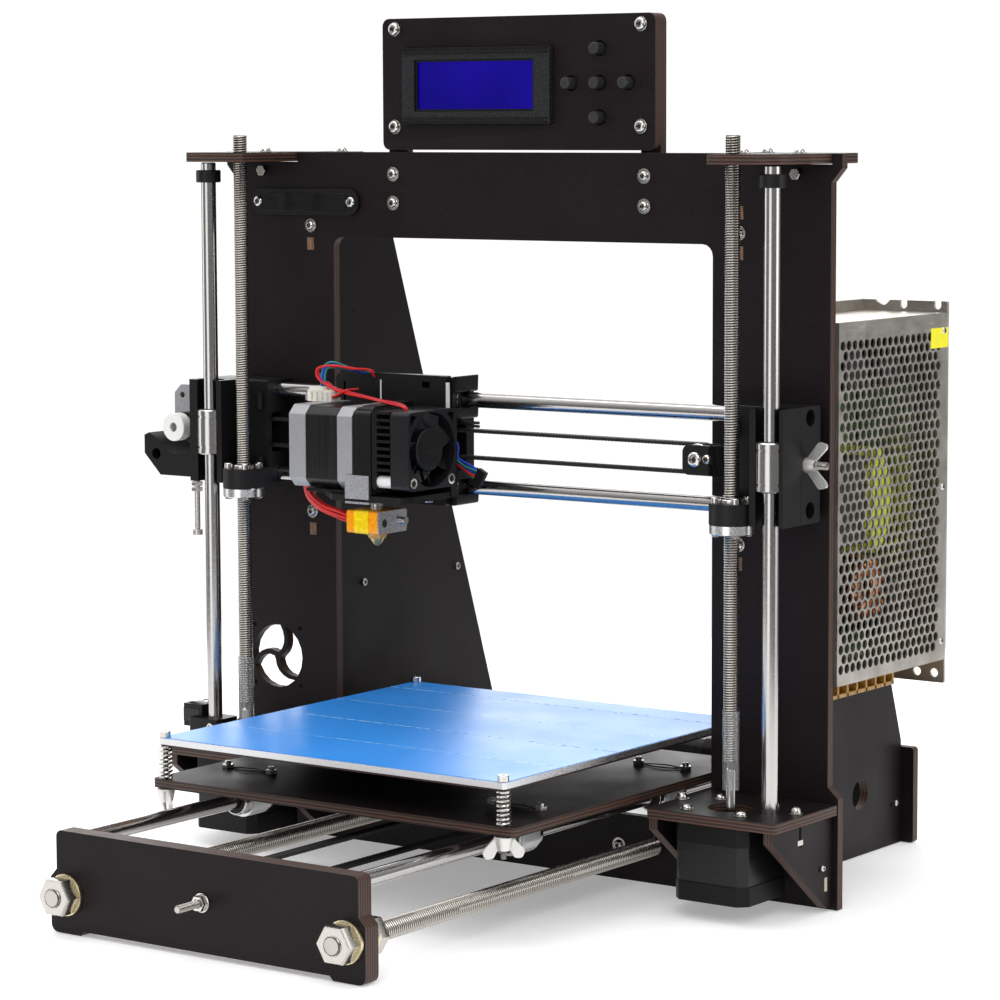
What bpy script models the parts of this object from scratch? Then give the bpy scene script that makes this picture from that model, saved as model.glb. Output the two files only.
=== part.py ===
"""Desktop FDM printer with a plywood frame: frame, moving bed, X gantry, extruder, display and supply.

All sizes below are millimetres. X runs to the right, Y to the back and Z up, from the floor.
Shapes are written in the machine's own grid, where X = 0 is the middle of the upright frame and
Y = 0 is its front face. An empty then moves the grid so that the world origin is under the
middle of the machine's bounding box.
"""
import math

import bmesh
import bpy
from mathutils import Matrix, Vector

MM = 0.001
GAP = 0.3
PLY = 5.0

# Upright frame (a plate in the XZ plane)
FRAME_HEIGHT = 371.0
FRAME_HALF_WIDTH = 187.0
FRAME_FOOT_HALF_WIDTH = 193.0
FRAME_EAR_HALF_WIDTH = 193.0
FOOT_EAR_TOP = 55.5
HEAD_EAR_BOTTOM = 357.0
WINDOW_HALF_WIDTH = 119.5
WINDOW_BOTTOM = 34.0
WINDOW_TOP = 326.0
WINDOW_RADIUS = 6.0
VENT_X = -161.0
VENT_Z = 96.2
VENT_RADIUS = 17.3
VENT_SCREW_PITCH = 32.0

# Base
FRONT_Y = -253.0
FRONT_THICKNESS = 2.0 * PLY
FRONT_HALF_WIDTH = 91.8
FRONT_FOOT_HALF_WIDTH = 95.7
FRONT_HEIGHT = 50.0
REAR_Y = 163.0
REAR_HALF_WIDTH = 145.0
REAR_HEIGHT = 52.0
BASE_ROD_X = 85.0
BASE_ROD_Z = 19.3
BASE_ROD_RADIUS = 4.9
BASE_NUT_FLATS = 17.0
BASE_NUT_HEIGHT = 8.2
BASE_WASHER_RADIUS = 10.2
BASE_WASHER = 2.0
BASE_ROD_FRONT = -265.0
BASE_ROD_REAR = 180.5
SIDE_PANEL_X = 135.0
SIDE_PANEL_TOP_Y = 55.0

# Bed and Y axis
Y_ROD_X = 83.5
Y_ROD_Z = 45.0
ROD_RADIUS = 4.0
BED_Y = -53.8
BED_HALF = 107.0
BED_TOP = 80.0
BED_THICKNESS = 3.5
BED_SCREW = 104.5
CARRIAGE_PLATE_HALF_X = 112.0
CARRIAGE_PLATE_HALF_Y = 106.5
CARRIAGE_PLATE_TOP = 58.5
CARRIAGE_PLATE_BOTTOM = 54.0
LM8_RADIUS = 7.5
LM8_LENGTH = 24.0
BED_BEARING_Y = 64.0
Y_BELT_Z = 31.5
Y_MOTOR_Y = 138.0
Y_IDLER_Y = -226.0
TENSION_SCREW_FRONT = -271.0
TENSION_SCREW_Z = 26.3

# Z axis
LEAD_SCREW_X = 153.5
LEAD_SCREW_RADIUS = 3.9
LEAD_SCREW_TOP = 380.0
Z_ROD_X = 175.7
Z_Y = -36.0
SHELF_TOP = 53.0
SHELF_INNER_X = 119.5
SHELF_OUTER_X = 193.3
SHELF_FRONT_Y = -60.0
TUBE_BOTTOM = 62.0
TUBE_TOP = 101.0
TUBE_RADIUS = 4.1
MOTOR_SIZE = 42.3
MOTOR_CHAMFER = 4.5
MOTOR_SHAFT_RADIUS = 2.5
Z_MOTOR_LENGTH = 38.5
COLLAR_RADIUS = 6.6

# X axis
X_ROD_Y = -14.0
X_ROD_Z_UPPER = 244.0
X_ROD_Z_LOWER = 199.0
X_BELT_Y = -18.0
X_BELT_Z = 221.5
X_END_OUTER = 184.4
X_END_INNER = 145.0
X_END_FRONT = -42.5
X_END_SPINE_FRONT = -29.0
X_END_REAR = -4.6
X_END_BOTTOM = 192.5
X_END_TOP = 249.5
X_MOTOR_X = -210.0
X_MOTOR_FACE_Y = -2.0
X_MOTOR_LENGTH = 38.5
X_IDLER_X = 125.0
X_ARM_LEFT = -234.0
WING_TIP_X = 197.0
BELT_PITCH_RADIUS = 6.37
BELT_INNER = 6.6
BELT_THICKNESS = 1.2
BELT_HALF_WIDTH = 3.0
WHEEL_FLANGE = 0.9
WHEEL_FLANGE_RADIUS = 7.6

# Carriage and extruder
CARRIAGE_X = (-94.0, -22.0)
CARRIAGE_Y = (-31.0, -7.0)
CARRIAGE_Z = (190.0, 257.0)
SHELF_PLATE_Z = (195.0, 198.2)
EXTRUDER_FRONT = -76.0
EXTRUDER_Y = EXTRUDER_FRONT + MOTOR_SIZE / 2.0
EXTRUDER_Z = 221.5
EXTRUDER_MOTOR_X = (-89.4, -48.5)
BLOCK_X = (-48.2, -35.0)
FIN_X = (-34.7, -23.6)
FAN_X = (-23.9, -12.4)
FAN_Y = -56.0
FAN_Z = 221.6
FAN_HALF = 20.0
FAN_BORE = 19.0
FAN_HUB_RADIUS = 11.2
FAN_BLADE_RADIUS = 18.3
FAN_BLADES = 7
NOZZLE_X = -43.5
NOZZLE_Y = -62.0
NOZZLE_TIP = 171.3
HEATER_Z = (178.5, 190.0)

# Display
LCD_HALF_WIDTH = 85.5
LCD_BOTTOM = 372.2
LCD_TOP = 440.5
BEZEL_X = (-70.5, 23.5)
BEZEL_Z = (385.5, 425.0)
BEZEL_FRONT = -4.0
BUTTON_X = 52.0
BUTTON_Z = 406.0
BUTTON_PITCH = 17.3
BUTTON_RADIUS = 3.1
BUTTON_HOLE_RADIUS = 4.0
BUTTON_FRONT = -6.0

# Power supply
PSU_X = (137.9, 188.5)
PSU_Y = (6.0, 117.0)
PSU_Z = (97.5, 294.7)
PSU_COVER_Z = (110.0, 289.0)
SHEET = 1.5

GRID_SHIFT = Vector((
    -(X_ARM_LEFT + WING_TIP_X) / 2.0,
    -(TENSION_SCREW_FRONT + BASE_ROD_REAR) / 2.0,
    0.0,
)) * MM

FINISHES = {
    "black_plywood": ((0.028, 0.024, 0.026), 0.55, 0.0),
    "polished_steel": ((0.62, 0.62, 0.62), 0.18, 1.0),
    "zinc_steel": ((0.55, 0.54, 0.52), 0.35, 1.0),
    "black_plastic": ((0.015, 0.015, 0.017), 0.5, 0.0),
    "motor_black": ((0.02, 0.02, 0.022), 0.45, 0.2),
    "cast_aluminium": ((0.55, 0.55, 0.57), 0.45, 1.0),
    "white_plastic": ((0.8, 0.8, 0.78), 0.4, 0.0),
    "belt_rubber": ((0.02, 0.02, 0.02), 0.7, 0.0),
    "blue_tape": ((0.09, 0.35, 0.82), 0.45, 0.0),
    "lcd_blue": ((0.004, 0.0, 0.25), 0.2, 0.0),
    "galvanised": ((0.45, 0.43, 0.38), 0.45, 1.0),
    "circuit_green": ((0.02, 0.12, 0.05), 0.5, 0.0),
    "kapton": ((0.85, 0.42, 0.02), 0.35, 0.0),
    "red_wire": ((0.65, 0.02, 0.02), 0.4, 0.0),
}


def clear_scene():
    for item in list(bpy.data.objects):
        bpy.data.objects.remove(item, do_unlink=True)


def make_collection(name):
    group = bpy.data.collections.new(name)
    bpy.context.scene.collection.children.link(group)
    return group


def make_materials():
    made = {}
    for name, (colour, roughness, metallic) in FINISHES.items():
        finish = bpy.data.materials.new(name)
        finish.use_nodes = True
        shader = finish.node_tree.nodes["Principled BSDF"]
        shader.inputs["Base Color"].default_value = (*colour, 1.0)
        shader.inputs["Roughness"].default_value = roughness
        shader.inputs["Metallic"].default_value = metallic
        finish.diffuse_color = (*colour, 1.0)
        made[name] = finish
    return made


clear_scene()
PRINTER = make_collection("fdm_printer")
CUTTERS = make_collection("cutters")
MATERIALS = make_materials()


def make_empty(name, location, parent):
    empty = bpy.data.objects.new(name, None)
    empty.location = location
    empty.empty_display_size = 0.02
    empty.parent = parent
    PRINTER.objects.link(empty)
    return empty


GRID = make_empty("machine_grid", GRID_SHIFT, None)


def pivot(name, x, y, z, parent=None):
    """An empty on a joint's axis, at a place in the machine's grid."""
    place = Vector((x, y, z)) * MM
    base = Vector((0.0, 0.0, 0.0))
    step = parent
    while step is not None and step is not GRID:
        base += step.location
        step = step.parent
    return make_empty(name, place - base, parent or GRID)


def place_of(empty):
    total = Vector((0.0, 0.0, 0.0))
    while empty is not None and empty is not GRID:
        total += empty.location
        empty = empty.parent
    return total


def shape(bm, name):
    """A working mesh object in the machine's grid, kept with the cutters until it is finished."""
    mesh = bpy.data.meshes.new(name)
    bm.to_mesh(mesh)
    bm.free()
    item = bpy.data.objects.new(name, mesh)
    item.parent = GRID
    item.hide_render = True
    item.display_type = "WIRE"
    CUTTERS.objects.link(item)
    return item


def box(x, y, z, name="box"):
    size = Vector((x[1] - x[0], y[1] - y[0], z[1] - z[0])) * MM
    centre = Vector((x[0] + x[1], y[0] + y[1], z[0] + z[1])) * MM / 2.0
    bm = bmesh.new()
    bmesh.ops.create_cube(bm, size=1.0)
    bmesh.ops.scale(bm, vec=size, verts=bm.verts)
    bmesh.ops.translate(bm, vec=centre, verts=bm.verts)
    return shape(bm, name)


def axis_matrix(axis):
    """Turns local Z to the named axis."""
    if axis == "X":
        return Matrix.Rotation(math.radians(90.0), 4, "Y")
    if axis == "Y":
        return Matrix.Rotation(math.radians(-90.0), 4, "X")
    return Matrix.Identity(4)


def cone(centre, axis, span, radius_low, radius_high, sides=20, name="cone"):
    """A turned solid whose centre line passes through centre along axis, from span[0] to span[1]."""
    along = {"X": 0, "Y": 1, "Z": 2}[axis]
    middle = Vector(centre)
    middle[along] = (span[0] + span[1]) / 2.0
    bm = bmesh.new()
    bmesh.ops.create_cone(
        bm,
        cap_ends=True,
        segments=sides,
        radius1=radius_low * MM,
        radius2=radius_high * MM,
        depth=(span[1] - span[0]) * MM,
        matrix=Matrix.Translation(middle * MM) @ axis_matrix(axis),
    )
    return shape(bm, name)


def cylinder(centre, axis, span, radius, sides=20, name="cylinder"):
    return cone(centre, axis, span, radius, radius, sides, name)


def circle(u, v, radius, sides=16):
    step = 2.0 * math.pi / sides
    return [(u + radius * math.cos(i * step), v + radius * math.sin(i * step)) for i in range(sides)]


def rounded(corners, steps=4):
    """An outline from (u, v, radius) corners, each turned into an arc of its radius."""
    outline = []
    count = len(corners)
    for index, (u, v, radius) in enumerate(corners):
        here = Vector((u, v))
        if radius <= 0.0:
            outline.append((u, v))
            continue
        back = (Vector(corners[index - 1][:2]) - here).normalized()
        ahead = (Vector(corners[(index + 1) % count][:2]) - here).normalized()
        half_angle = back.angle(ahead) / 2.0
        centre = here + (back + ahead).normalized() * (radius / math.sin(half_angle))
        first = here + back * (radius / math.tan(half_angle)) - centre
        last = here + ahead * (radius / math.tan(half_angle)) - centre
        turn = math.atan2(first.x * last.y - first.y * last.x, first.dot(last))
        start = math.atan2(first.y, first.x)
        for step in range(steps + 1):
            angle = start + turn * step / steps
            outline.append((centre.x + radius * math.cos(angle), centre.y + radius * math.sin(angle)))
    return outline


def rectangle(u, v, radius=0.0):
    return rounded([(u[0], v[0], radius), (u[1], v[0], radius), (u[1], v[1], radius), (u[0], v[1], radius)])


def mirrored(outline, side):
    return [(u * side, v) for u, v in outline]


PLANES = {
    "XY": Matrix.Identity(4),
    "XZ": Matrix.Rotation(math.radians(90.0), 4, "X"),
    "YZ": Matrix(((0, 0, 1, 0), (1, 0, 0, 0), (0, 1, 0, 0), (0, 0, 0, 1))),
}
NORMALS = {"XY": Vector((0, 0, 1)), "XZ": Vector((0, 1, 0)), "YZ": Vector((1, 0, 0))}


def plate(plane, span, outline, holes=(), name="plate"):
    """A flat outline with holes, in the named plane, between the two heights of span."""
    curve = bpy.data.curves.new(name, "CURVE")
    curve.dimensions = "2D"
    curve.fill_mode = "BOTH"
    curve.extrude = (span[1] - span[0]) / 2.0 * MM
    for ring in (outline, *holes):
        spline = curve.splines.new("POLY")
        spline.points.add(len(ring) - 1)
        for point, (u, v) in zip(spline.points, ring):
            point.co = (u * MM, v * MM, 0.0, 1.0)
        spline.use_cyclic_u = True
    drawing = bpy.data.objects.new(name, curve)
    CUTTERS.objects.link(drawing)
    bpy.context.view_layer.update()
    evaluated = drawing.evaluated_get(bpy.context.evaluated_depsgraph_get())
    mesh = bpy.data.meshes.new_from_object(evaluated)
    bpy.data.objects.remove(drawing, do_unlink=True)
    bm = bmesh.new()
    bm.from_mesh(mesh)
    bpy.data.meshes.remove(mesh)
    bmesh.ops.remove_doubles(bm, verts=bm.verts, dist=0.000005)
    bmesh.ops.recalc_face_normals(bm, faces=bm.faces)
    middle = NORMALS[plane] * ((span[0] + span[1]) / 2.0 * MM)
    bmesh.ops.transform(bm, matrix=Matrix.Translation(middle) @ PLANES[plane], verts=bm.verts)
    return shape(bm, name)


def turned(profile, centre, axis, sides=24, closed=False, name="turned"):
    """A profile of (radius, height) points, from the top down, turned about axis through centre."""
    bm = bmesh.new()
    corners = [bm.verts.new((radius * MM, 0.0, height * MM)) for radius, height in profile]
    for first, second in zip(corners, corners[1:]):
        bm.edges.new((first, second))
    if closed:
        bm.edges.new((corners[-1], corners[0]))
    item = shape(bm, name)
    screw = item.modifiers.new("turn", "SCREW")
    screw.axis = "Z"
    screw.steps = sides
    screw.render_steps = sides
    screw.use_merge_vertices = True
    screw.merge_threshold = 0.00001
    item.rotation_euler = axis_matrix(axis).to_euler()
    item.location = Vector(centre) * MM
    return item


def tube(points, radius, name="tube"):
    """A round wire along a smooth curve read through the given points."""
    path = smooth_path(points)
    curve = bpy.data.curves.new(name, "CURVE")
    curve.dimensions = "3D"
    curve.bevel_depth = radius * MM
    curve.bevel_resolution = 2
    curve.render_resolution_u = 0
    curve.use_fill_caps = True
    spline = curve.splines.new("POLY")
    spline.points.add(len(path) - 1)
    for point, place in zip(spline.points, path):
        point.co = (*(place * MM), 1.0)
    item = bpy.data.objects.new(name, curve)
    item.parent = GRID
    CUTTERS.objects.link(item)
    return item


def smooth_path(points, per_span=5):
    """Catmull-Rom points through the given route."""
    route = [Vector(point) for point in points]
    route = [route[0] * 2.0 - route[1], *route, route[-1] * 2.0 - route[-2]]
    path = []
    for a, b, c, d in zip(route, route[1:], route[2:], route[3:]):
        for step in range(per_span):
            t = step / per_span
            path.append(0.5 * (
                2.0 * b + (c - a) * t + (2.0 * a - 5.0 * b + 4.0 * c - d) * t ** 2
                + (3.0 * b - a - 3.0 * c + d) * t ** 3
            ))
    path.append(route[-2])
    return path


def combine(base, joined=(), cut=()):
    for operation, items in (("UNION", joined), ("DIFFERENCE", cut)):
        for item in items:
            step = base.modifiers.new(operation.lower(), "BOOLEAN")
            step.operation = operation
            step.solver = "EXACT"
            step.object = item
    return base


def finish(item, name, material, body=None):
    """Names a shape as a part of the printer and hangs it on its body's empty."""
    item.name = name
    item.data.name = name
    item.data.materials.clear()
    item.data.materials.append(MATERIALS[material])
    CUTTERS.objects.unlink(item)
    PRINTER.objects.link(item)
    item.hide_render = False
    item.display_type = "TEXTURED"
    holder = body or GRID
    item.parent = holder
    offset = place_of(holder)
    if item.location.length > 0.0:
        item.location = item.location - offset
    else:
        item.data.transform(Matrix.Translation(-offset))
    if item.type == "MESH":
        item.data.shade_smooth()
        item.data.set_sharp_from_angle(angle=math.radians(35.0))
    return item


def stepper(face, axis, direction, length, shaft_end):
    """A square stepper motor. Its front face is at face and its body runs against direction."""
    half = MOTOR_SIZE / 2.0
    along = {"X": 0, "Y": 1, "Z": 2}[axis]
    plane = {"X": "YZ", "Y": "XZ", "Z": "XY"}[axis]
    u, v = [face[i] for i in range(3) if i != along]
    front = face[along]
    back = front - direction * length
    cap = 10.0

    def prism(size, chamfer, start, end):
        corner = size - chamfer
        ring = [
            (u + size, v + corner), (u + corner, v + size), (u - corner, v + size), (u - size, v + corner),
            (u - size, v - corner), (u - corner, v - size), (u + corner, v - size), (u + size, v - corner),
        ]
        return plate(plane, (min(start, end), max(start, end)), ring)

    core = prism(half - 0.5, MOTOR_CHAMFER, front - direction * 0.5, back + direction * 0.5)
    front_cap = prism(half, MOTOR_CHAMFER, front, front - direction * cap)
    rear_cap = prism(half, MOTOR_CHAMFER, back + direction * cap, back)
    boss_end = front + direction * 2.0
    inside = front - direction * 2.0
    boss = cylinder(face, axis, (min(inside, boss_end), max(inside, boss_end)), 11.0, 28)
    shaft = cylinder(face, axis, (min(inside, shaft_end), max(inside, shaft_end)), MOTOR_SHAFT_RADIUS, 16)
    return combine(core, [front_cap, rear_cap, boss, shaft])


def toothed_wheel(centre, axis, half_width, hub_to, bore, name):
    """A flanged belt wheel: flanges, a groove for the belt, and an optional hub."""
    flange = WHEEL_FLANGE_RADIUS
    groove = BELT_PITCH_RADIUS - 0.1
    rim = half_width + WHEEL_FLANGE
    profile = [
        (bore, rim), (flange, rim), (flange, half_width), (groove, half_width),
        (groove, -half_width), (flange, -half_width), (flange, hub_to), (bore, hub_to),
    ]
    return turned(profile, centre, axis, 24, True, name)


def belt_loop(plane, span, start, end, height):
    """A belt stretched round two equal wheels whose centres are at start and end."""
    def stadium(radius):
        arc = 12
        points = []
        for centre, first in ((end, -90.0), (start, 90.0)):
            for step in range(arc + 1):
                angle = math.radians(first + 180.0 * step / arc)
                points.append((centre + radius * math.cos(angle), height + radius * math.sin(angle)))
        return points

    return plate(plane, span, stadium(BELT_INNER + BELT_THICKNESS), [stadium(BELT_INNER)])


def vent_hole(index):
    """One of the three curved openings of the fan-shaped vent."""
    inner = 2.4
    spoke = 3.2
    twist = math.radians(58.0)
    steps = 5
    third = 2.0 * math.pi / 3.0
    base = index * third + math.radians(20.0)

    def polar(radius, angle):
        return (VENT_X + radius * math.cos(angle), VENT_Z + radius * math.sin(angle))

    def edge(side, radius):
        lean = twist * radius / VENT_RADIUS
        gap = spoke / 2.0 / radius
        return base + lean + (gap if side == 0 else third - gap)

    radii = [inner + (VENT_RADIUS - inner) * step / steps for step in range(steps + 1)]
    ring = [polar(radius, edge(0, radius)) for radius in radii]
    first = edge(0, VENT_RADIUS)
    last = edge(1, VENT_RADIUS)
    ring += [polar(VENT_RADIUS, first + (last - first) * step / 6) for step in range(1, 6)]
    ring += [polar(radius, edge(1, radius)) for radius in reversed(radii)]
    return ring


def gantry_frame():
    half = [
        (FRAME_FOOT_HALF_WIDTH, 0.0, 0.0), (FRAME_FOOT_HALF_WIDTH, FOOT_EAR_TOP, 0.0),
        (FRAME_HALF_WIDTH, FOOT_EAR_TOP + 5.5, 0.0), (FRAME_HALF_WIDTH, HEAD_EAR_BOTTOM, 0.0),
        (FRAME_EAR_HALF_WIDTH, HEAD_EAR_BOTTOM + 7.0, 0.0), (FRAME_EAR_HALF_WIDTH, FRAME_HEIGHT, 0.0),
        (FRAME_HALF_WIDTH + GAP, FRAME_HEIGHT, 0.0), (FRAME_HALF_WIDTH + GAP, FRAME_HEIGHT - PLY - GAP, 0.0),
        (144.0 - GAP, FRAME_HEIGHT - PLY - GAP, 0.0), (144.0 - GAP, FRAME_HEIGHT, 0.0),
    ]
    outline = rounded(half + [(-u, v, r) for u, v, r in reversed(half)])
    notch = 6.0
    notch_floor = 17.0
    window = rounded([
        (-WINDOW_HALF_WIDTH, WINDOW_BOTTOM, WINDOW_RADIUS), (-notch, WINDOW_BOTTOM, 0.0),
        (-notch, notch_floor, 1.5), (notch, notch_floor, 1.5), (notch, WINDOW_BOTTOM, 0.0),
        (WINDOW_HALF_WIDTH, WINDOW_BOTTOM, WINDOW_RADIUS), (WINDOW_HALF_WIDTH, WINDOW_TOP, WINDOW_RADIUS),
        (-WINDOW_HALF_WIDTH, WINDOW_TOP, WINDOW_RADIUS),
    ])
    holes = [window]
    for side in (-1, 1):
        holes.append(circle(side * BASE_ROD_X, BASE_ROD_Z, BASE_ROD_RADIUS + GAP))
        for rise in (-1, 1):
            corner = VENT_SCREW_PITCH / 2.0
            holes.append(circle(VENT_X + side * corner, VENT_Z + rise * corner, 1.6, 8))
    holes += [vent_hole(index) for index in range(3)]
    finish(plate("XZ", (0.0, PLY), outline, holes), "gantry_frame", "black_plywood")


def side_panels():
    outline = [
        (PLY + GAP, 0.0), (REAR_Y - GAP, 0.0), (REAR_Y - GAP, 55.0),
        (SIDE_PANEL_TOP_Y, FRAME_HEIGHT - PLY - GAP), (PLY + GAP, FRAME_HEIGHT - PLY - GAP),
    ]
    for side, name, hole in ((-1, "left", circle(33.0, 284.0, 1.6, 8)), (1, "right", circle(119.0, 32.5, 8.2))):
        x = side * SIDE_PANEL_X
        item = plate("YZ", (x - PLY / 2.0, x + PLY / 2.0), outline, [hole])
        finish(item, f"{name}_side_panel", "black_plywood")


def front_plate():
    step = 27.0
    half = [
        (77.0, 0.0, 0.0), (FRONT_FOOT_HALF_WIDTH, 0.0, 4.0), (FRONT_FOOT_HALF_WIDTH, step, 2.0),
        (FRONT_HALF_WIDTH, step + 4.0, 0.0), (FRONT_HALF_WIDTH, FRONT_HEIGHT, 3.0),
    ]
    bottom = [(75.0, 2.1, 0.0)]
    right = bottom + half
    outline = rounded(right + [(-u, v, r) for u, v, r in reversed(right)])
    holes = [circle(side * BASE_ROD_X, BASE_ROD_Z, BASE_ROD_RADIUS + GAP) for side in (-1, 1)]
    holes.append(circle(0.0, TENSION_SCREW_Z, 2.3, 12))
    item = plate("XZ", (FRONT_Y, FRONT_Y + FRONT_THICKNESS), outline, holes)
    depth = (FRONT_Y + PLY, FRONT_Y + FRONT_THICKNESS + 1.0)
    sockets = [cylinder((s * Y_ROD_X, 0, Y_ROD_Z), "Y", depth, ROD_RADIUS + GAP) for s in (-1, 1)]
    finish(combine(item, cut=sockets), "front_plate", "black_plywood")


def rear_plate():
    outline = rectangle((-REAR_HALF_WIDTH, REAR_HALF_WIDTH), (0.0, REAR_HEIGHT), 2.0)
    holes = [circle(s * BASE_ROD_X, BASE_ROD_Z, BASE_ROD_RADIUS + GAP) for s in (-1, 1)]
    holes += [circle(s * Y_ROD_X, Y_ROD_Z, ROD_RADIUS + GAP / 2.0) for s in (-1, 1)]
    finish(plate("XZ", (REAR_Y, REAR_Y + PLY), outline, holes), "rear_plate", "black_plywood")


def top_plates():
    """Each caps a pair of Z rods and reaches back over the upright frame to its side panel."""
    front = -46.0
    inner = 144.0
    outer = 183.5
    neck = FRAME_HALF_WIDTH
    back = 35.0
    front_corner = {-1: 2.0, 1: 13.0}
    for side, name in ((-1, "left"), (1, "right")):
        outline = rounded([
            (inner, front, 2.0), (outer, front, front_corner[side]), (outer, -14.0, 4.0), (neck, -2.0, 0.0),
            (neck, 12.0, 3.0), (neck - 4.0, back, 6.0), (125.0, back, 2.0), (125.0, PLY + GAP, 0.0),
            (inner, PLY + GAP, 0.0),
        ])
        hole = circle(side * LEAD_SCREW_X, Z_Y, LEAD_SCREW_RADIUS + 0.5)
        item = plate("XY", (FRAME_HEIGHT - PLY, FRAME_HEIGHT), mirrored(outline, side), [hole])
        finish(item, f"{name}_top_plate", "black_plywood")


def motor_shelves():
    """Each shelf carries a Z motor and stands on two gussets against the upright frame."""
    bottom = SHELF_TOP - PLY
    front = SHELF_FRONT_Y + 3.0
    gusset = [(front, bottom + 0.4), (front, 42.0), (-6.0, 2.0), (-GAP, 2.0), (-GAP, bottom + 0.4)]
    for side, name in ((-1, "left"), (1, "right")):
        outline = rectangle((SHELF_INNER_X, SHELF_OUTER_X), (SHELF_FRONT_Y, -GAP), 2.0)
        holes = [
            circle(side * LEAD_SCREW_X, Z_Y, 11.3, 24),
            circle(side * Z_ROD_X, Z_Y, ROD_RADIUS + GAP),
        ]
        shelf = plate("XY", (bottom, SHELF_TOP), mirrored(outline, side), holes)
        outer = sorted((side * 185.0, side * 190.0))
        inner = sorted((side * (SHELF_INNER_X + 0.2), side * (SHELF_INNER_X + 0.2 + PLY)))
        gussets = [plate("YZ", outer, gusset), plate("YZ", inner, gusset)]
        finish(combine(shelf, gussets), f"{name}_motor_shelf", "black_plywood")


def base_rods():
    """Threaded base rods with the nuts and washers that clamp the front and rear plates."""
    nut_radius = BASE_NUT_FLATS / 2.0 / math.cos(math.radians(30.0))
    front_back = FRONT_Y + FRONT_THICKNESS
    rear_back = REAR_Y + PLY
    stations = [(FRONT_Y - GAP, -1), (front_back + GAP, 1), (REAR_Y - GAP, -1), (rear_back + GAP, 1)]
    for side, name in ((-1, "left"), (1, "right")):
        centre = (side * BASE_ROD_X, 0.0, BASE_ROD_Z)
        rod = cylinder(centre, "Y", (BASE_ROD_FRONT, BASE_ROD_REAR), BASE_ROD_RADIUS)
        clamps = []
        for face, way in stations:
            washer = sorted((face, face + way * BASE_WASHER))
            nut_start = face + way * (BASE_WASHER - 0.2)
            nut = sorted((nut_start, nut_start + way * BASE_NUT_HEIGHT))
            clamps.append(cylinder(centre, "Y", washer, BASE_WASHER_RADIUS, 24))
            clamps.append(cylinder(centre, "Y", nut, nut_radius, 6))
        finish(combine(rod, clamps), f"{name}_base_rod", "zinc_steel")


def y_axis():
    """Guide rods, the rear motor, the front idler in its tensioner and the belt between them."""
    span = (FRONT_Y + PLY + GAP, REAR_Y + PLY - 0.5)
    for side, name in ((-1, "left"), (1, "right")):
        rod = cylinder((side * Y_ROD_X, 0, Y_ROD_Z), "Y", span, ROD_RADIUS)
        finish(rod, f"{name}_y_rod", "polished_steel")
    motor_x = 9.0
    motor = stepper((motor_x, Y_MOTOR_Y, Y_BELT_Z), "X", -1, 40.0, -6.0)
    bracket = box((motor_x - 3.0, motor_x + 0.4), (Y_MOTOR_Y - 21.0, REAR_Y - GAP), (10.6, 52.0))
    foot = box((-18.0, motor_x + 0.4), (REAR_Y - 3.3, REAR_Y - GAP), (10.6, 52.0))
    finish(combine(motor, [bracket, foot]), "y_motor", "motor_black")
    wheel_room = 5.2
    side_rail = (-9.0, -wheel_room)
    idler_y = (Y_IDLER_Y - 6.0, Y_IDLER_Y + 6.0)
    base_y = (FRONT_Y + FRONT_THICKNESS + 1.5, Y_IDLER_Y - 8.5)
    rail_y = (base_y[0], idler_y[1])
    rail_z = (TENSION_SCREW_Z - 4.0, Y_BELT_Z + 6.0)
    yoke = box((-9.0, 9.0), base_y, rail_z)
    rails = [box(side_rail, rail_y, rail_z), box((wheel_room, 9.0), rail_y, rail_z)]
    axle = cylinder((0, Y_IDLER_Y, Y_BELT_Z), "X", (-8.0, 8.0), 1.9, 12)
    screw = cylinder((0, 0, TENSION_SCREW_Z), "Y", (TENSION_SCREW_FRONT, base_y[0] + 2.0), 1.9, 12)
    nut = cylinder((0, 0, TENSION_SCREW_Z), "Y", (FRONT_Y - 3.6, FRONT_Y - GAP), 4.0, 6)
    finish(combine(yoke, [*rails, axle, screw, nut]), "y_idler_bracket", "black_plastic")
    pulley_pivot = pivot("y_pulley_axis", 0.0, Y_MOTOR_Y, Y_BELT_Z)
    pulley = toothed_wheel((0, Y_MOTOR_Y, Y_BELT_Z), "X", 3.3, -4.2, 2.8, "y_pulley")
    finish(pulley, "y_pulley", "cast_aluminium", pulley_pivot)
    idler_pivot = pivot("y_idler_axis", 0.0, Y_IDLER_Y, Y_BELT_Z)
    idler = toothed_wheel((0, Y_IDLER_Y, Y_BELT_Z), "X", 3.3, -4.2, 2.2, "y_idler")
    finish(idler, "y_idler", "white_plastic", idler_pivot)
    belt = belt_loop("YZ", (-BELT_HALF_WIDTH, BELT_HALF_WIDTH), Y_IDLER_Y, Y_MOTOR_Y, Y_BELT_Z)
    finish(belt, "y_belt", "belt_rubber")


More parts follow.
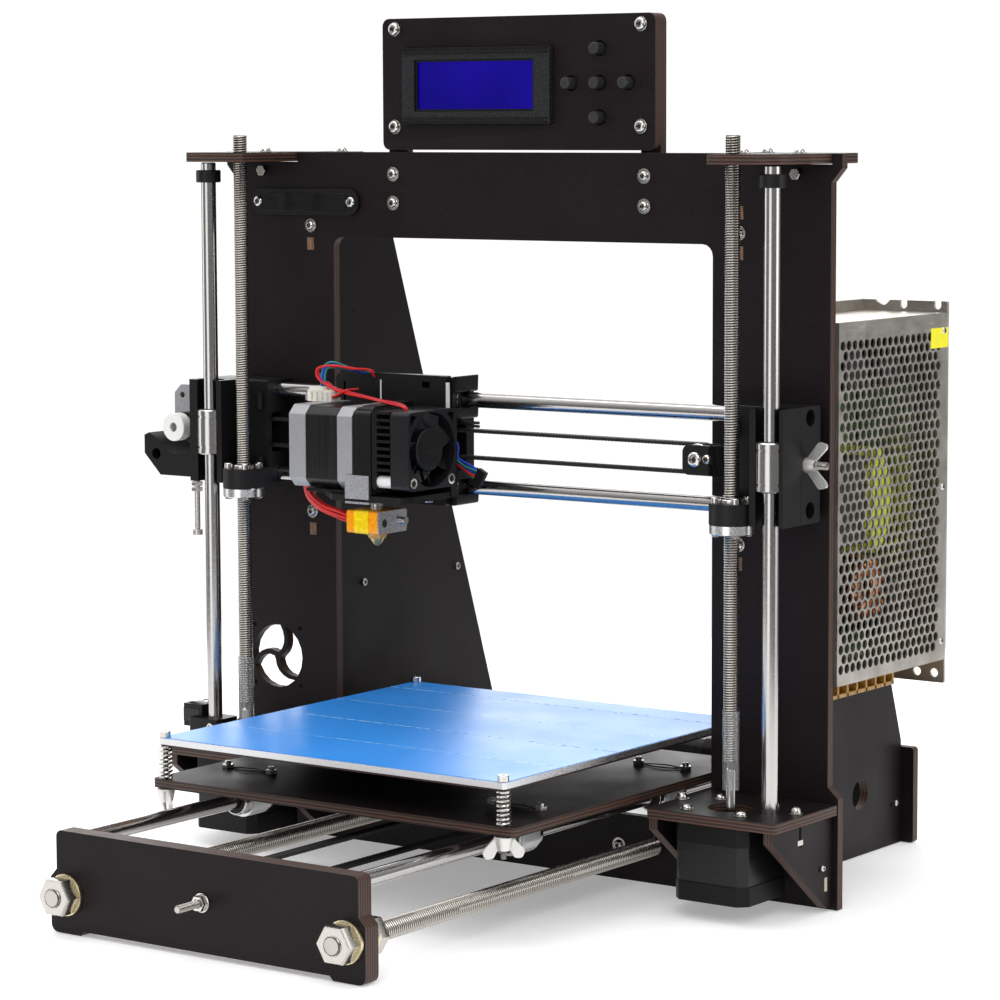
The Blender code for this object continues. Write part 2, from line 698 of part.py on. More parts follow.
def z_axis():
    """Motors, lead screws with their clear couplings, and collared guide rods."""
    bottom = SHELF_TOP - PLY
    for side, name in ((-1, "left"), (1, "right")):
        x = side * LEAD_SCREW_X
        motor = stepper((x, Z_Y, bottom - GAP), "Z", 1, Z_MOTOR_LENGTH, TUBE_BOTTOM + 10.0)
        finish(motor, f"{name}_z_motor", "motor_black")
        shaft_room = MOTOR_SHAFT_RADIUS + GAP
        room_top = TUBE_BOTTOM + 12.0
        profile = [
            (0.0, LEAD_SCREW_TOP), (LEAD_SCREW_RADIUS, LEAD_SCREW_TOP), (LEAD_SCREW_RADIUS, TUBE_TOP),
            (TUBE_RADIUS, TUBE_TOP), (TUBE_RADIUS, TUBE_BOTTOM), (shaft_room, TUBE_BOTTOM),
            (shaft_room, room_top), (0.0, room_top),
        ]
        turn = pivot(f"{name}_lead_screw_axis", x, Z_Y, 0.0)
        screw = turned(profile, (x, Z_Y, 0.0), "Z", 20)
        finish(screw, f"{name}_lead_screw", "zinc_steel", turn)
        rod_profile = [
            (0.0, 365.6), (ROD_RADIUS, 365.6), (ROD_RADIUS, 361.6), (COLLAR_RADIUS, 361.6),
            (COLLAR_RADIUS, 355.0), (ROD_RADIUS, 355.0), (ROD_RADIUS, 48.3), (0.0, 48.3),
        ]
        rod = turned(rod_profile, (side * Z_ROD_X, Z_Y, 0.0), "Z", 20)
        finish(rod, f"{name}_z_rod", "polished_steel")
    clamp = box((-187.0, -167.0), (-45.0, -27.0), (58.0, 66.0))
    switch = box((-194.0, -181.0), (-41.0, -31.0), (60.0, 73.0))
    bore = cylinder((-Z_ROD_X, Z_Y, 0), "Z", (50.0, 80.0), ROD_RADIUS + GAP)
    finish(combine(clamp, [switch], [bore]), "z_endstop", "black_plastic")


def x_end(side):
    """The shared body of both X ends: spine, bearing cheek, bearing and nut lug."""
    def span(a, b):
        return tuple(sorted((side * a, side * b)))

    height = (X_END_BOTTOM, X_END_TOP)
    spine = box(span(X_END_INNER, X_END_OUTER), (X_END_SPINE_FRONT, X_END_REAR), height)
    cheek = box(span(179.5, X_END_OUTER), (X_END_FRONT, X_END_SPINE_FRONT + 1.0), height)
    lug_z = (X_END_BOTTOM + 0.3, 203.0)
    lug = cylinder((side * LEAD_SCREW_X, Z_Y, 0), "Z", lug_z, 11.2, 24)
    web = box(span(X_END_INNER + 1.0, 163.5), (Z_Y, X_END_SPINE_FRONT + 1.0), lug_z)
    flange = cylinder((side * LEAD_SCREW_X, Z_Y, 0), "Z", (187.7, X_END_BOTTOM + 1.0), 10.8, 24)
    bearing_z = (X_BELT_Z - LM8_LENGTH / 2.0, X_BELT_Z + LM8_LENGTH / 2.0)
    bearing = cylinder((side * Z_ROD_X, Z_Y, 0), "Z", bearing_z, LM8_RADIUS, 24)
    screw_bore = cylinder((side * LEAD_SCREW_X, Z_Y, 0), "Z", (150.0, 300.0), LEAD_SCREW_RADIUS + 0.5)
    guide_bore = cylinder((side * Z_ROD_X, Z_Y, 0), "Z", (150.0, 300.0), ROD_RADIUS + GAP)
    rod_span = span(X_END_INNER - 2.0, X_END_OUTER + 2.0)
    rod_bores = [
        cylinder((0, X_ROD_Y, z), "X", rod_span, ROD_RADIUS + GAP) for z in (X_ROD_Z_UPPER, X_ROD_Z_LOWER)
    ]
    return spine, [cheek, lug, web, flange, bearing], [screw_bore, guide_bore, *rod_bores]


def x_gantry():
    body = pivot("x_gantry_slide", 0.0, X_ROD_Y, X_BELT_Z)
    spine, joined, cut = x_end(-1)
    arm_outline = rounded([
        (X_ARM_LEFT, 205.0, 2.0), (-222.0, 194.5, 2.0), (-183.0, 194.5, 0.0),
        (-183.0, 217.0, 0.0), (X_ARM_LEFT, 217.0, 3.0),
    ])
    arm = plate("XZ", (-24.5, X_MOTOR_FACE_Y - GAP), arm_outline, name="motor_arm")
    screw = cylinder((-182.3, X_END_FRONT + 1.9, 0), "Z", (165.2, X_END_BOTTOM + 2.0), 1.5, 10)
    opening = cylinder((X_MOTOR_X, 0, X_BELT_Z), "Y", (-32.0, 0.0), 14.0, 32)
    channel = box((X_MOTOR_X, 2.0 - X_END_INNER), (X_BELT_Y - 4.0, X_BELT_Y + 4.0), (211.0, 232.0))
    motor_hole = cylinder((X_MOTOR_X - 15.5, 0, X_BELT_Z - 15.5), "Y", (-30.0, 0.0), 1.7, 10)
    finish(combine(spine, [*joined, arm, screw], [*cut, opening, channel, motor_hole]),
           "left_x_end", "black_plastic", body)
    spine, joined, cut = x_end(1)
    fork_z = (213.7, 228.5)
    fork_x = (117.7, X_END_INNER + 2.0)
    fork = [
        box(fork_x, (X_BELT_Y - 6.6, X_BELT_Y - 4.5), fork_z),
        box(fork_x, (X_BELT_Y + 4.5, X_BELT_Y + 6.6), fork_z),
        cylinder((X_IDLER_X, 0, X_BELT_Z), "Y", (X_BELT_Y - 7.6, X_BELT_Y + 7.6), 1.9, 12),
    ]
    wing_screw = cylinder((0, X_BELT_Y, X_BELT_Z), "X", (X_END_OUTER - 1.0, X_END_OUTER + 10.0), 2.0, 12)
    wing_hub = cone((0, X_BELT_Y, X_BELT_Z), "X", (X_END_OUTER - 0.5, X_END_OUTER + 5.0), 5.0, 3.4, 12)
    wings = []
    for way in (-1, 1):
        ring = [
            (X_END_OUTER + 1.0, X_BELT_Z + way * 1.0), (X_END_OUTER + 5.8, X_BELT_Z + way * 1.0),
            (WING_TIP_X, X_BELT_Z + way * 9.0), (WING_TIP_X - 3.5, X_BELT_Z + way * 12.5),
        ]
        wings.append(plate("XZ", (X_BELT_Y - 1.0, X_BELT_Y + 1.0), ring))
    finish(combine(spine, [*joined, *fork, wing_screw, wing_hub, *wings], cut),
           "right_x_end", "black_plastic", body)
    rod_span = (-X_END_OUTER + 1.5, X_END_OUTER - 1.5)
    for name, z in (("upper_x_rod", X_ROD_Z_UPPER), ("lower_x_rod", X_ROD_Z_LOWER)):
        finish(cylinder((0, X_ROD_Y, z), "X", rod_span, ROD_RADIUS), name, "polished_steel", body)
    motor = stepper((X_MOTOR_X, X_MOTOR_FACE_Y, X_BELT_Z), "Y", -1, X_MOTOR_LENGTH, X_BELT_Y - 9.0)
    finish(motor, "x_motor", "motor_black", body)
    pulley_pivot = pivot("x_pulley_axis", X_MOTOR_X, X_BELT_Y, X_BELT_Z, body)
    pulley = toothed_wheel((X_MOTOR_X, X_BELT_Y, X_BELT_Z), "Y", 3.3, -10.0, 2.8, "x_pulley")
    finish(pulley, "x_pulley", "white_plastic", pulley_pivot)
    idler_pivot = pivot("x_idler_axis", X_IDLER_X, X_BELT_Y, X_BELT_Z, body)
    idler = toothed_wheel((X_IDLER_X, X_BELT_Y, X_BELT_Z), "Y", 3.3, -4.2, 2.2, "x_idler")
    finish(idler, "x_idler", "cast_aluminium", idler_pivot)
    belt_y = (X_BELT_Y - BELT_HALF_WIDTH, X_BELT_Y + BELT_HALF_WIDTH)
    belt = belt_loop("XZ", belt_y, X_MOTOR_X, X_IDLER_X, X_BELT_Z)
    finish(belt, "x_belt", "belt_rubber", body)
    return body


def extruder(gantry):
    """The carriage on the X rods with the direct extruder, its fan and the hot end."""
    body = pivot("carriage_slide", (CARRIAGE_X[0] + CARRIAGE_X[1]) / 2.0, X_ROD_Y, X_BELT_Z, gantry)
    face_back = CARRIAGE_Y[0] + 5.5
    core_end = CARRIAGE_X[1] - 8.0
    block = box(CARRIAGE_X, (CARRIAGE_Y[0], face_back), CARRIAGE_Z)
    core = box((CARRIAGE_X[0], core_end), (face_back - 1.0, CARRIAGE_Y[1]), (CARRIAGE_Z[0], 255.0))
    jaws = [
        box((core_end - 1.0, CARRIAGE_X[1]), (face_back - 1.0, -9.1), z)
        for z in ((189.6, 194.6), (203.4, 208.6), (234.0, 240.6), (247.6, 256.6))
    ]
    ledge = box((-79.0, -16.0), (EXTRUDER_FRONT, CARRIAGE_Y[0] + 2.0), SHELF_PLATE_Z)
    waist = [box((a, b), (-40.0, -28.0), (203.0, 243.5)) for a, b in ((-95.0, -83.0), (-33.0, -21.0))]
    through = (CARRIAGE_X[0] - 2.0, CARRIAGE_X[1] + 2.0)
    bores = [
        cylinder((0, X_ROD_Y, z), "X", through, ROD_RADIUS + GAP) for z in (X_ROD_Z_UPPER, X_ROD_Z_LOWER)
    ]
    channel = box(through, (X_BELT_Y - 4.5, X_BELT_Y + 4.5), (211.5, 231.5))
    throat = cylinder((NOZZLE_X, NOZZLE_Y, 0), "Z", (190.0, 205.0), 4.2, 16)
    finish(combine(block, [core, *jaws, ledge], [*bores, channel, *waist, throat]),
           "x_carriage", "black_plastic", body)

    motor_length = EXTRUDER_MOTOR_X[1] - EXTRUDER_MOTOR_X[0]
    motor_face = (EXTRUDER_MOTOR_X[1], EXTRUDER_Y, EXTRUDER_Z)
    motor = stepper(motor_face, "X", 1, motor_length, BLOCK_X[1] - 2.0)
    finish(motor, "extruder_motor", "motor_black", body)
    top = EXTRUDER_Z + MOTOR_SIZE / 2.0 - 0.8
    filler = box(BLOCK_X, (EXTRUDER_FRONT, -34.4), (SHELF_PLATE_Z[1] + GAP, top))
    foot_top = EXTRUDER_Z - MOTOR_SIZE / 2.0 - GAP
    foot = box((-80.0, BLOCK_X[0] + 1.0), (-74.0, -36.0), (SHELF_PLATE_Z[1] + GAP, foot_top))
    shaft_room = cylinder((0, EXTRUDER_Y, EXTRUDER_Z), "X", (BLOCK_X[0] - 1.0, BLOCK_X[1] - 1.5), 3.0, 16)
    boss_room = cylinder((0, EXTRUDER_Y, EXTRUDER_Z), "X", (BLOCK_X[0] - 1.0, BLOCK_X[0] + 2.1), 11.3, 28)
    finish(combine(filler, [foot], [shaft_room, boss_room]), "extruder_block", "black_plastic", body)

    fins = 9
    comb_z = (209.0, 241.6)
    pitch = (comb_z[1] - comb_z[0]) / fins
    root = FIN_X[0] + 2.0
    comb = [(FIN_X[0], comb_z[0]), (FIN_X[0], comb_z[1])]
    for index in reversed(range(fins)):
        low = comb_z[0] + index * pitch + 2.0
        high = comb_z[0] + (index + 1) * pitch
        comb += [(FIN_X[1], high), (FIN_X[1], low), (root, low)]
        if index:
            comb.append((root, high - pitch))
    comb.append((root, comb_z[0]))
    sink = plate("XZ", (EXTRUDER_FRONT, -36.0), comb, name="heat_sink")
    square = rectangle((FAN_Y - FAN_HALF, FAN_Y + FAN_HALF), (FAN_Z - FAN_HALF, FAN_Z + FAN_HALF), 3.0)
    frame = plate("YZ", FAN_X, square, [circle(FAN_Y, FAN_Z, FAN_BORE, 32)], "fan_shroud")
    posts = [
        cylinder((0, FAN_Y + s * 16.0, FAN_Z - 16.0), "X", (FIN_X[0], FAN_X[0] + 1.0), 3.2, 14) for s in (-1, 1)
    ]
    backing = box((FIN_X[0], FIN_X[0] + 1.8), (EXTRUDER_FRONT, -36.0), (201.8, comb_z[0] + 1.0))
    finish(combine(frame, [sink, *posts, backing]), "cooling_fan", "black_plastic", body)

    fan_pivot = pivot("fan_axis", 0.0, FAN_Y, FAN_Z, body)
    ring = []
    for blade in range(FAN_BLADES):
        start = 2.0 * math.pi * blade / FAN_BLADES
        sweep = 2.0 * math.pi / FAN_BLADES
        for radius, turn in (
            (FAN_HUB_RADIUS, 0.0), (FAN_HUB_RADIUS, 0.3), (FAN_BLADE_RADIUS, 0.55),
            (FAN_BLADE_RADIUS, 0.8), (FAN_BLADE_RADIUS, 1.0), (FAN_HUB_RADIUS, 0.75),
        ):
            angle = start + sweep * turn * 0.92
            ring.append((FAN_Y + radius * math.cos(angle), FAN_Z + radius * math.sin(angle)))
    rotor = plate("YZ", (FAN_X[0] + 1.5, FAN_X[1] - 1.2), ring)
    finish(rotor, "fan_rotor", "black_plastic", fan_pivot)

    heater = box((NOZZLE_X - 10.0, NOZZLE_X + 10.0), (NOZZLE_Y - 12.0, NOZZLE_Y + 12.0), HEATER_Z)
    throat = cylinder((NOZZLE_X, NOZZLE_Y, 0), "Z", (HEATER_Z[1] - 1.0, SHELF_PLATE_Z[1]), 3.0, 16)
    hexagon = cylinder((NOZZLE_X, NOZZLE_Y, 0), "Z", (NOZZLE_TIP + 3.5, HEATER_Z[0] + 1.0), 4.0, 6)
    tip = cone((NOZZLE_X, NOZZLE_Y, 0), "Z", (NOZZLE_TIP, NOZZLE_TIP + 4.0), 0.8, 3.2, 16)
    finish(combine(heater, [throat, hexagon, tip]), "hot_end", "kapton", body)

    heater_route = [
        (-54.4, -68.0, 185.0), (-64.0, -68.0, 187.0), (-77.0, -66.0, 190.0), (-89.0, -61.0, 196.0),
        (-95.5, -54.0, 207.0), (-96.5, -49.0, 223.0), (-96.0, -45.0, 240.0), (-90.0, -43.0, 252.0),
    ]
    finish(tube(heater_route, 2.2), "heater_leads", "red_wire", body)


def bed():
    body = pivot("bed_slide", 0.0, BED_Y, Y_ROD_Z)
    y = (BED_Y - CARRIAGE_PLATE_HALF_Y, BED_Y + CARRIAGE_PLATE_HALF_Y)
    outline = rectangle((-CARRIAGE_PLATE_HALF_X, CARRIAGE_PLATE_HALF_X), y, 3.0)
    corners = [(sx * BED_SCREW, BED_Y + sy * BED_SCREW) for sy in (-1, 1) for sx in (-1, 1)]
    holes = [circle(u, v, 1.9, 12) for u, v in corners]
    base = plate("XY", (CARRIAGE_PLATE_BOTTOM, CARRIAGE_PLATE_TOP), outline, holes)
    bearings = []
    bores = []
    for side in (-1, 1):
        for way in (-1, 1):
            middle = BED_Y + way * BED_BEARING_Y
            span = (middle - LM8_LENGTH / 2.0, middle + LM8_LENGTH / 2.0)
            inner = (middle - 8.0, middle + 8.0)
            x = side * Y_ROD_X
            bearings.append(cylinder((x, 0, Y_ROD_Z), "Y", span, LM8_RADIUS, 20))
            bearings.append(box((x - 8.5, x + 8.5), inner, (Y_ROD_Z + 1.0, CARRIAGE_PLATE_BOTTOM + 1.0)))
            reach = (span[0] - 1.0, span[1] + 1.0)
            bores.append(cylinder((x, 0, Y_ROD_Z), "Y", reach, ROD_RADIUS + GAP, 20))
    clamp = box((-8.0, 8.0), (BED_Y - 9.0, BED_Y + 9.0), (Y_BELT_Z + BELT_INNER + BELT_THICKNESS + GAP,
                                                          CARRIAGE_PLATE_BOTTOM + 1.0))
    finish(combine(base, [*bearings, clamp], bores), "bed_carriage", "black_plywood", body)

    bed_y = (BED_Y - BED_HALF, BED_Y + BED_HALF)
    plate_item = plate("XY", (BED_TOP - BED_THICKNESS, BED_TOP), rectangle((-BED_HALF, BED_HALF), bed_y, 1.5))
    screws = []
    for u, v in corners:
        screws.append(cylinder((u, v, 0), "Z", (43.0, BED_TOP - 1.0), 1.5, 10))
        screws.append(cylinder((u, v, 0), "Z", (BED_TOP - 1.0, BED_TOP + 1.8), 2.4, 12))
    finish(combine(plate_item, screws), "heated_bed", "blue_tape", body)

    names = ("front_left", "front_right", "rear_left", "rear_right")
    for name, (u, v) in zip(names, corners):
        top = BED_TOP - BED_THICKNESS - GAP
        low = CARRIAGE_PLATE_TOP + GAP
        profile = [(1.9, top), (3.6, top), (3.6, low), (1.9, low)]
        spring = turned(profile, (u, v, 0.0), "Z", 14, True)
        finish(spring, f"{name}_spring", "zinc_steel", body)
        turn = pivot(f"{name}_wing_nut_axis", u, v, 0.0, body)
        nut_top = CARRIAGE_PLATE_BOTTOM - GAP
        hub = cone((u, v, 0), "Z", (46.0, nut_top), 3.2, 4.2, 14)
        wings = []
        for way in (-1, 1):
            ring = [
                (u + way * 2.4, 46.6), (u + way * 2.8, nut_top - 1.0),
                (u + way * 9.6, 44.6), (u + way * 6.4, 42.0),
            ]
            wings.append(plate("XZ", (v - 1.0, v + 1.0), ring))
        bore = cylinder((u, v, 0), "Z", (40.0, 60.0), 1.8, 10)
        finish(combine(hub, wings, [bore]), f"{name}_wing_nut", "zinc_steel", turn)
    return body


def display():
    """Two plywood plates round the display module, held to the frame's head by two tabs."""
    front_outline = rectangle((-LCD_HALF_WIDTH, LCD_HALF_WIDTH), (LCD_BOTTOM, LCD_TOP), 4.0)
    bezel_hole = rectangle((BEZEL_X[0] - GAP, BEZEL_X[1] + GAP), (BEZEL_Z[0] - GAP, BEZEL_Z[1] + GAP))
    presses = [(0, 0), (-1, 0), (1, 0), (0, 1), (0, -1)]
    centres = [(BUTTON_X + i * BUTTON_PITCH, BUTTON_Z + j * BUTTON_PITCH) for i, j in presses]
    holes = [bezel_hole] + [circle(u, v, BUTTON_HOLE_RADIUS) for u, v in centres]
    front = plate("XZ", (0.0, PLY), front_outline, holes)
    tab = 73.5
    drop = 337.0
    back_outline = rounded([
        (-LCD_HALF_WIDTH, drop, 2.0), (-tab, drop, 2.0), (-tab, LCD_BOTTOM, 0.0), (tab, LCD_BOTTOM, 0.0),
        (tab, drop, 2.0), (LCD_HALF_WIDTH, drop, 2.0), (LCD_HALF_WIDTH, LCD_TOP, 4.0),
        (-LCD_HALF_WIDTH, LCD_TOP, 4.0),
    ])
    opening = rectangle((-79.5, 79.5), (377.5, 435.5), 2.0)
    back = plate("XZ", (PLY + GAP, 2.0 * PLY + GAP), back_outline, [opening])
    bridge = plate("XZ", (PLY - 0.5, PLY + 1.0), front_outline, [rectangle((-81.0, 81.0), (376.0, 437.0), 2.0)])
    finish(combine(front, [bridge, back]), "lcd_housing", "black_plywood")
    board = box((-78.0, 78.0), (PLY + GAP, PLY + GAP + 1.6), (379.0, 434.0))
    bezel = box(BEZEL_X, (BEZEL_FRONT, PLY + 1.0), BEZEL_Z)
    screen = box((-61.5, 14.5), (BEZEL_FRONT - 1.0, BEZEL_FRONT + 1.0), (392.0, 418.5))
    finish(combine(board, [bezel], [screen]), "lcd_module", "black_plastic")
    labels = ("select", "left", "right", "up", "down")
    for label, (u, v) in zip(labels, centres):
        axis = pivot(f"{label}_button_slide", u, 0.0, v)
        cap = cone((u, 0, v), "Y", (BUTTON_FRONT, PLY - 1.2), BUTTON_RADIUS, BUTTON_RADIUS + 0.3, 16)
        finish(cap, f"{label}_button", "black_plastic", axis)


def power_supply():
    """A sheet-metal chassis with its circuit board, and the cover folded over it."""
    base = box((PSU_X[0], PSU_X[0] + SHEET), PSU_Y, PSU_Z)
    rear = plate("XZ", (PSU_Y[1] - SHEET, PSU_Y[1]), rounded([
        (PSU_X[0], PSU_Z[0], 0.0), (PSU_X[1], PSU_Z[0], 1.0), (PSU_X[1], PSU_Z[1], 1.0),
        (184.6, PSU_Z[1], 0.0), (184.6, 290.5, 1.9), (180.6, 290.5, 1.9), (180.6, PSU_Z[1], 0.0),
        (164.8, PSU_Z[1], 0.0), (164.8, 290.5, 1.9), (160.8, 290.5, 1.9), (160.8, PSU_Z[1], 0.0),
        (PSU_X[0], PSU_Z[1], 0.0),
    ]), [circle(172.6, 102.4, 2.2), circle(182.6, 102.4, 2.2)])
    board = box((PSU_X[0] + 1.0, 147.0), (10.0, 112.0), (98.5, 284.0))
    transformer = box((146.0, 180.0), (30.0, 62.0), (180.0, 226.0))
    coil = cylinder((0, 52.0, 156.0), "X", (146.0, 172.0), 12.0, 18)
    terminals = box((140.0, 170.0), (11.0, 96.0), (98.0, 109.0))
    inside = [rear, board, transformer, coil, terminals]
    finish(combine(base, inside), "psu_chassis", "galvanised")
    cover_x = (PSU_X[0] + SHEET + GAP, PSU_X[1])
    cover_y = (PSU_Y[0], PSU_Y[1] - SHEET - GAP)
    shell = box(cover_x, cover_y, PSU_COVER_Z)
    room_y = (cover_y[0] + SHEET, cover_y[1] + 5.0)
    room_z = (PSU_COVER_Z[0] + SHEET, PSU_COVER_Z[1] - SHEET)
    room = box((cover_x[0] - 5.0, cover_x[1] - SHEET), room_y, room_z)
    board_room = box((cover_x[0] - 5.0, 147.3), room_y, (PSU_COVER_Z[0] - 1.0, room_z[1]))
    finish(combine(shell, cut=[room, board_room]), "psu_cover", "galvanised")


def controller():
    """The controller board on its posts, on the outer face of the left side panel."""
    face = -SIDE_PANEL_X - PLY / 2.0
    board = box((face - 9.6, face - 8.0), (18.0, 118.0), (150.0, 240.0))
    posts = [
        cylinder((0, y, z), "X", (face - 9.0, face - GAP), 3.0, 12) for y in (23.0, 113.0) for z in (155.0, 235.0)
    ]
    sockets = [
        box((face - 19.0, face - 9.0), (22.0, 34.0), (165.0, 225.0)),
        box((face - 15.0, face - 9.0), (45.0, 105.0), (195.0, 215.0)),
        box((face - 17.0, face - 9.0), (40.0, 110.0), (226.0, 234.0)),
    ]
    finish(combine(board, [*posts, *sockets]), "controller_board", "circuit_green")


def main():
    gantry_frame()
    side_panels()
    front_plate()
    rear_plate()
    top_plates()
    motor_shelves()
    base_rods()
    y_axis()
    z_axis()
    extruder(x_gantry())
    bed()
    display()
    power_supply()
    controller()


main()
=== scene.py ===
"""Looks of the FDM printer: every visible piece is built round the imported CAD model.

Shapes are written in millimetres on the machine's own grid: X = 0 is the middle of the upright
frame, Y = 0 is its front face and Z = 0 is the floor. at() turns a grid point into the row frame.
"""

import math
import random
from functools import partial

import bmesh
import bpy
from mathutils import Matrix, Vector


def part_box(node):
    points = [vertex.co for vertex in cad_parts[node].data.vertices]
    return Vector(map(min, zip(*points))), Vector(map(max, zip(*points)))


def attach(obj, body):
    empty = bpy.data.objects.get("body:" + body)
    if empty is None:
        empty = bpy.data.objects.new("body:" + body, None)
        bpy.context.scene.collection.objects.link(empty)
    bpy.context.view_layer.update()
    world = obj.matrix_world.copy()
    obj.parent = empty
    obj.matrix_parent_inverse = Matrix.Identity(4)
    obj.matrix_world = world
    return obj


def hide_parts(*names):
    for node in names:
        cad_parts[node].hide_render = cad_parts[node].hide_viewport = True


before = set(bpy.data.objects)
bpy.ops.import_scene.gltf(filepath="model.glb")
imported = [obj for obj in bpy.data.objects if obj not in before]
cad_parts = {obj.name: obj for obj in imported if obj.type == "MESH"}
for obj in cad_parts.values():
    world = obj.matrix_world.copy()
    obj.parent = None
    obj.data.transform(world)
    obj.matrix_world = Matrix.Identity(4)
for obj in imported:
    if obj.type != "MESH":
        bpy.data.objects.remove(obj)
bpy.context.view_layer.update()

MM = 0.001
FRAME_LOW, FRAME_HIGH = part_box("gantry_frame")
GRID = Vector(((FRAME_LOW.x + FRAME_HIGH.x) / 2.0, FRAME_LOW.y, FRAME_LOW.z))
TO_ROW = Matrix.Translation(GRID) @ Matrix.Scale(MM, 4)
TO_GRID = TO_ROW.inverted()

HANDS = ((-1, "left"), (1, "right"))
DIAGONALS = [(u, v) for u in (-1, 1) for v in (-1, 1)]


def at(x, y, z):
    return GRID + Vector((x, y, z)) * MM


def span(node):
    """A CAD node's lowest and highest corners on the machine's grid, in millimetres."""
    low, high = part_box(node)
    return TO_GRID @ low, TO_GRID @ high


def middle(node):
    low, high = span(node)
    return (low + high) / 2.0


# ---------------------------------------------------------------- camera, light and floor

AZIMUTH = math.radians(35.70)
ELEVATION = math.radians(6.22)
ROLL = math.radians(-0.21)
LENS = 125.6
CAMERA_SPOT = (1042.3, -1465.2, 387.7)
LIT_SPOT = (0.0, -40.0, 200.0)
FLOOR_RADIUS = 0.85
WHITE = (1.0, 1.0, 1.0, 1.0)

# The room's greys from the nadir to the zenith, and the soft bright regions that the rods
# reflect: direction, the cosines where each starts and is full, and how bright it is.
ROOM_BANDS = ((0.0, 0.25), (0.42, 0.20), (0.56, 0.30), (0.72, 0.50), (1.0, 1.0))
LOBES = (
    ((-0.574, 0.798, 0.185), 0.90, 0.985, 2.6),
    ((0.035, -0.989, -0.145), 0.93, 0.985, 1.9),
    ((0.882, 0.449, -0.145), 0.92, 0.975, 1.1),
)
SOFTBOXES = (
    ("key", (1000.0, -1300.0, 1200.0), (0.9, 0.9), 9.0),
    ("top", (-100.0, 0.0, 1500.0), (1.3, 1.3), 10.0),
    ("left", (-1500.0, -500.0, 600.0), (0.6, 1.2), 3.5),
    ("right", (1500.0, 300.0, 600.0), (0.7, 0.9), 3.5),
)


def node(owner, kind, **settings):
    """A new shader node. Each setting names a socket, with _ for a space, or a property."""
    item = owner.node_tree.nodes.new(kind)
    for key, value in settings.items():
        socket = key.replace("_", " ")
        if socket in item.inputs:
            item.inputs[socket].default_value = value
        else:
            setattr(item, key, value)
    return item


def link(owner, start, end):
    owner.node_tree.links.new(start, end)


def add_camera():
    back = Vector((
        math.sin(AZIMUTH) * math.cos(ELEVATION),
        -math.cos(AZIMUTH) * math.cos(ELEVATION),
        math.sin(ELEVATION),
    ))
    level = Vector((math.cos(AZIMUTH), math.sin(AZIMUTH), 0.0))
    upright_axis = back.cross(level)
    right = math.cos(ROLL) * level + math.sin(ROLL) * upright_axis
    up = math.cos(ROLL) * upright_axis - math.sin(ROLL) * level
    lens = bpy.data.cameras.new("camera")
    lens.lens = LENS
    lens.sensor_width = 36.0
    camera = bpy.data.objects.new("camera", lens)
    turn = Matrix((right, up, back)).transposed().to_4x4()
    camera.matrix_world = Matrix.Translation(at(*CAMERA_SPOT)) @ turn
    bpy.context.scene.collection.objects.link(camera)
    bpy.context.scene.camera = camera


def add_softboxes():
    for name, spot, size, power in SOFTBOXES:
        light = bpy.data.lights.new(name, "AREA")
        light.shape = "RECTANGLE"
        light.size, light.size_y = size
        light.energy = power
        lamp = bpy.data.objects.new(name, light)
        lamp.location = at(*spot)
        lamp.rotation_euler = (at(*spot) - at(*LIT_SPOT)).to_track_quat("Z", "Y").to_euler()
        bpy.context.scene.collection.objects.link(lamp)


def toward(world, where, direction, edge, core, low, high):
    """A value that rises smoothly as a ray turns toward a direction."""
    match = node(world, "ShaderNodeVectorMath", operation="DOT_PRODUCT")
    match.inputs[1].default_value = direction
    rise = node(world, "ShaderNodeMapRange", interpolation_type="SMOOTHSTEP",
                From_Min=edge, From_Max=core, To_Min=low, To_Max=high)
    link(world, where.outputs["Generated"], match.inputs[0])
    link(world, match.outputs["Value"], rise.inputs["Value"])
    return rise.outputs[0]


def add_world():
    """White behind the object. Its metal reflects a grey room, bright overhead and in a few lobes."""
    world = bpy.data.worlds.new("studio")
    bpy.context.scene.world = world
    world.use_nodes = True
    world.node_tree.nodes.clear()
    where = node(world, "ShaderNodeTexCoord")
    split = node(world, "ShaderNodeSeparateXYZ")
    height = node(world, "ShaderNodeMapRange", From_Min=-1.0)
    ramp = node(world, "ShaderNodeValToRGB")
    while len(ramp.color_ramp.elements) < len(ROOM_BANDS):
        ramp.color_ramp.elements.new(0.5)
    for element, (level, grey) in zip(ramp.color_ramp.elements, ROOM_BANDS):
        element.position = level
        element.color = (grey, grey, grey, 1.0)
    light = node(world, "ShaderNodeBackground")
    link(world, where.outputs["Generated"], split.inputs[0])
    link(world, split.outputs["Z"], height.inputs["Value"])
    link(world, height.outputs[0], ramp.inputs[0])
    link(world, ramp.outputs[0], light.inputs["Color"])
    gain = toward(world, where, (-0.96, 0.10, 0.25), 0.45, 0.92, 1.0, 1.9)
    link(world, gain, light.inputs["Strength"])
    for direction, edge, core, strength in LOBES:
        lobe = node(world, "ShaderNodeBackground")
        both = node(world, "ShaderNodeAddShader")
        glow = toward(world, where, direction, edge, core, 0.0, strength)
        link(world, glow, lobe.inputs["Strength"])
        link(world, light.outputs[0], both.inputs[0])
        link(world, lobe.outputs[0], both.inputs[1])
        light = both
    seen = node(world, "ShaderNodeBackground", Color=WHITE, Strength=1.03)
    ray = node(world, "ShaderNodeLightPath")
    mix = node(world, "ShaderNodeMixShader")
    output = node(world, "ShaderNodeOutputWorld")
    link(world, ray.outputs["Is Camera Ray"], mix.inputs[0])
    link(world, light.outputs[0], mix.inputs[1])
    link(world, seen.outputs[0], mix.inputs[2])
    link(world, mix.outputs[0], output.inputs[0])


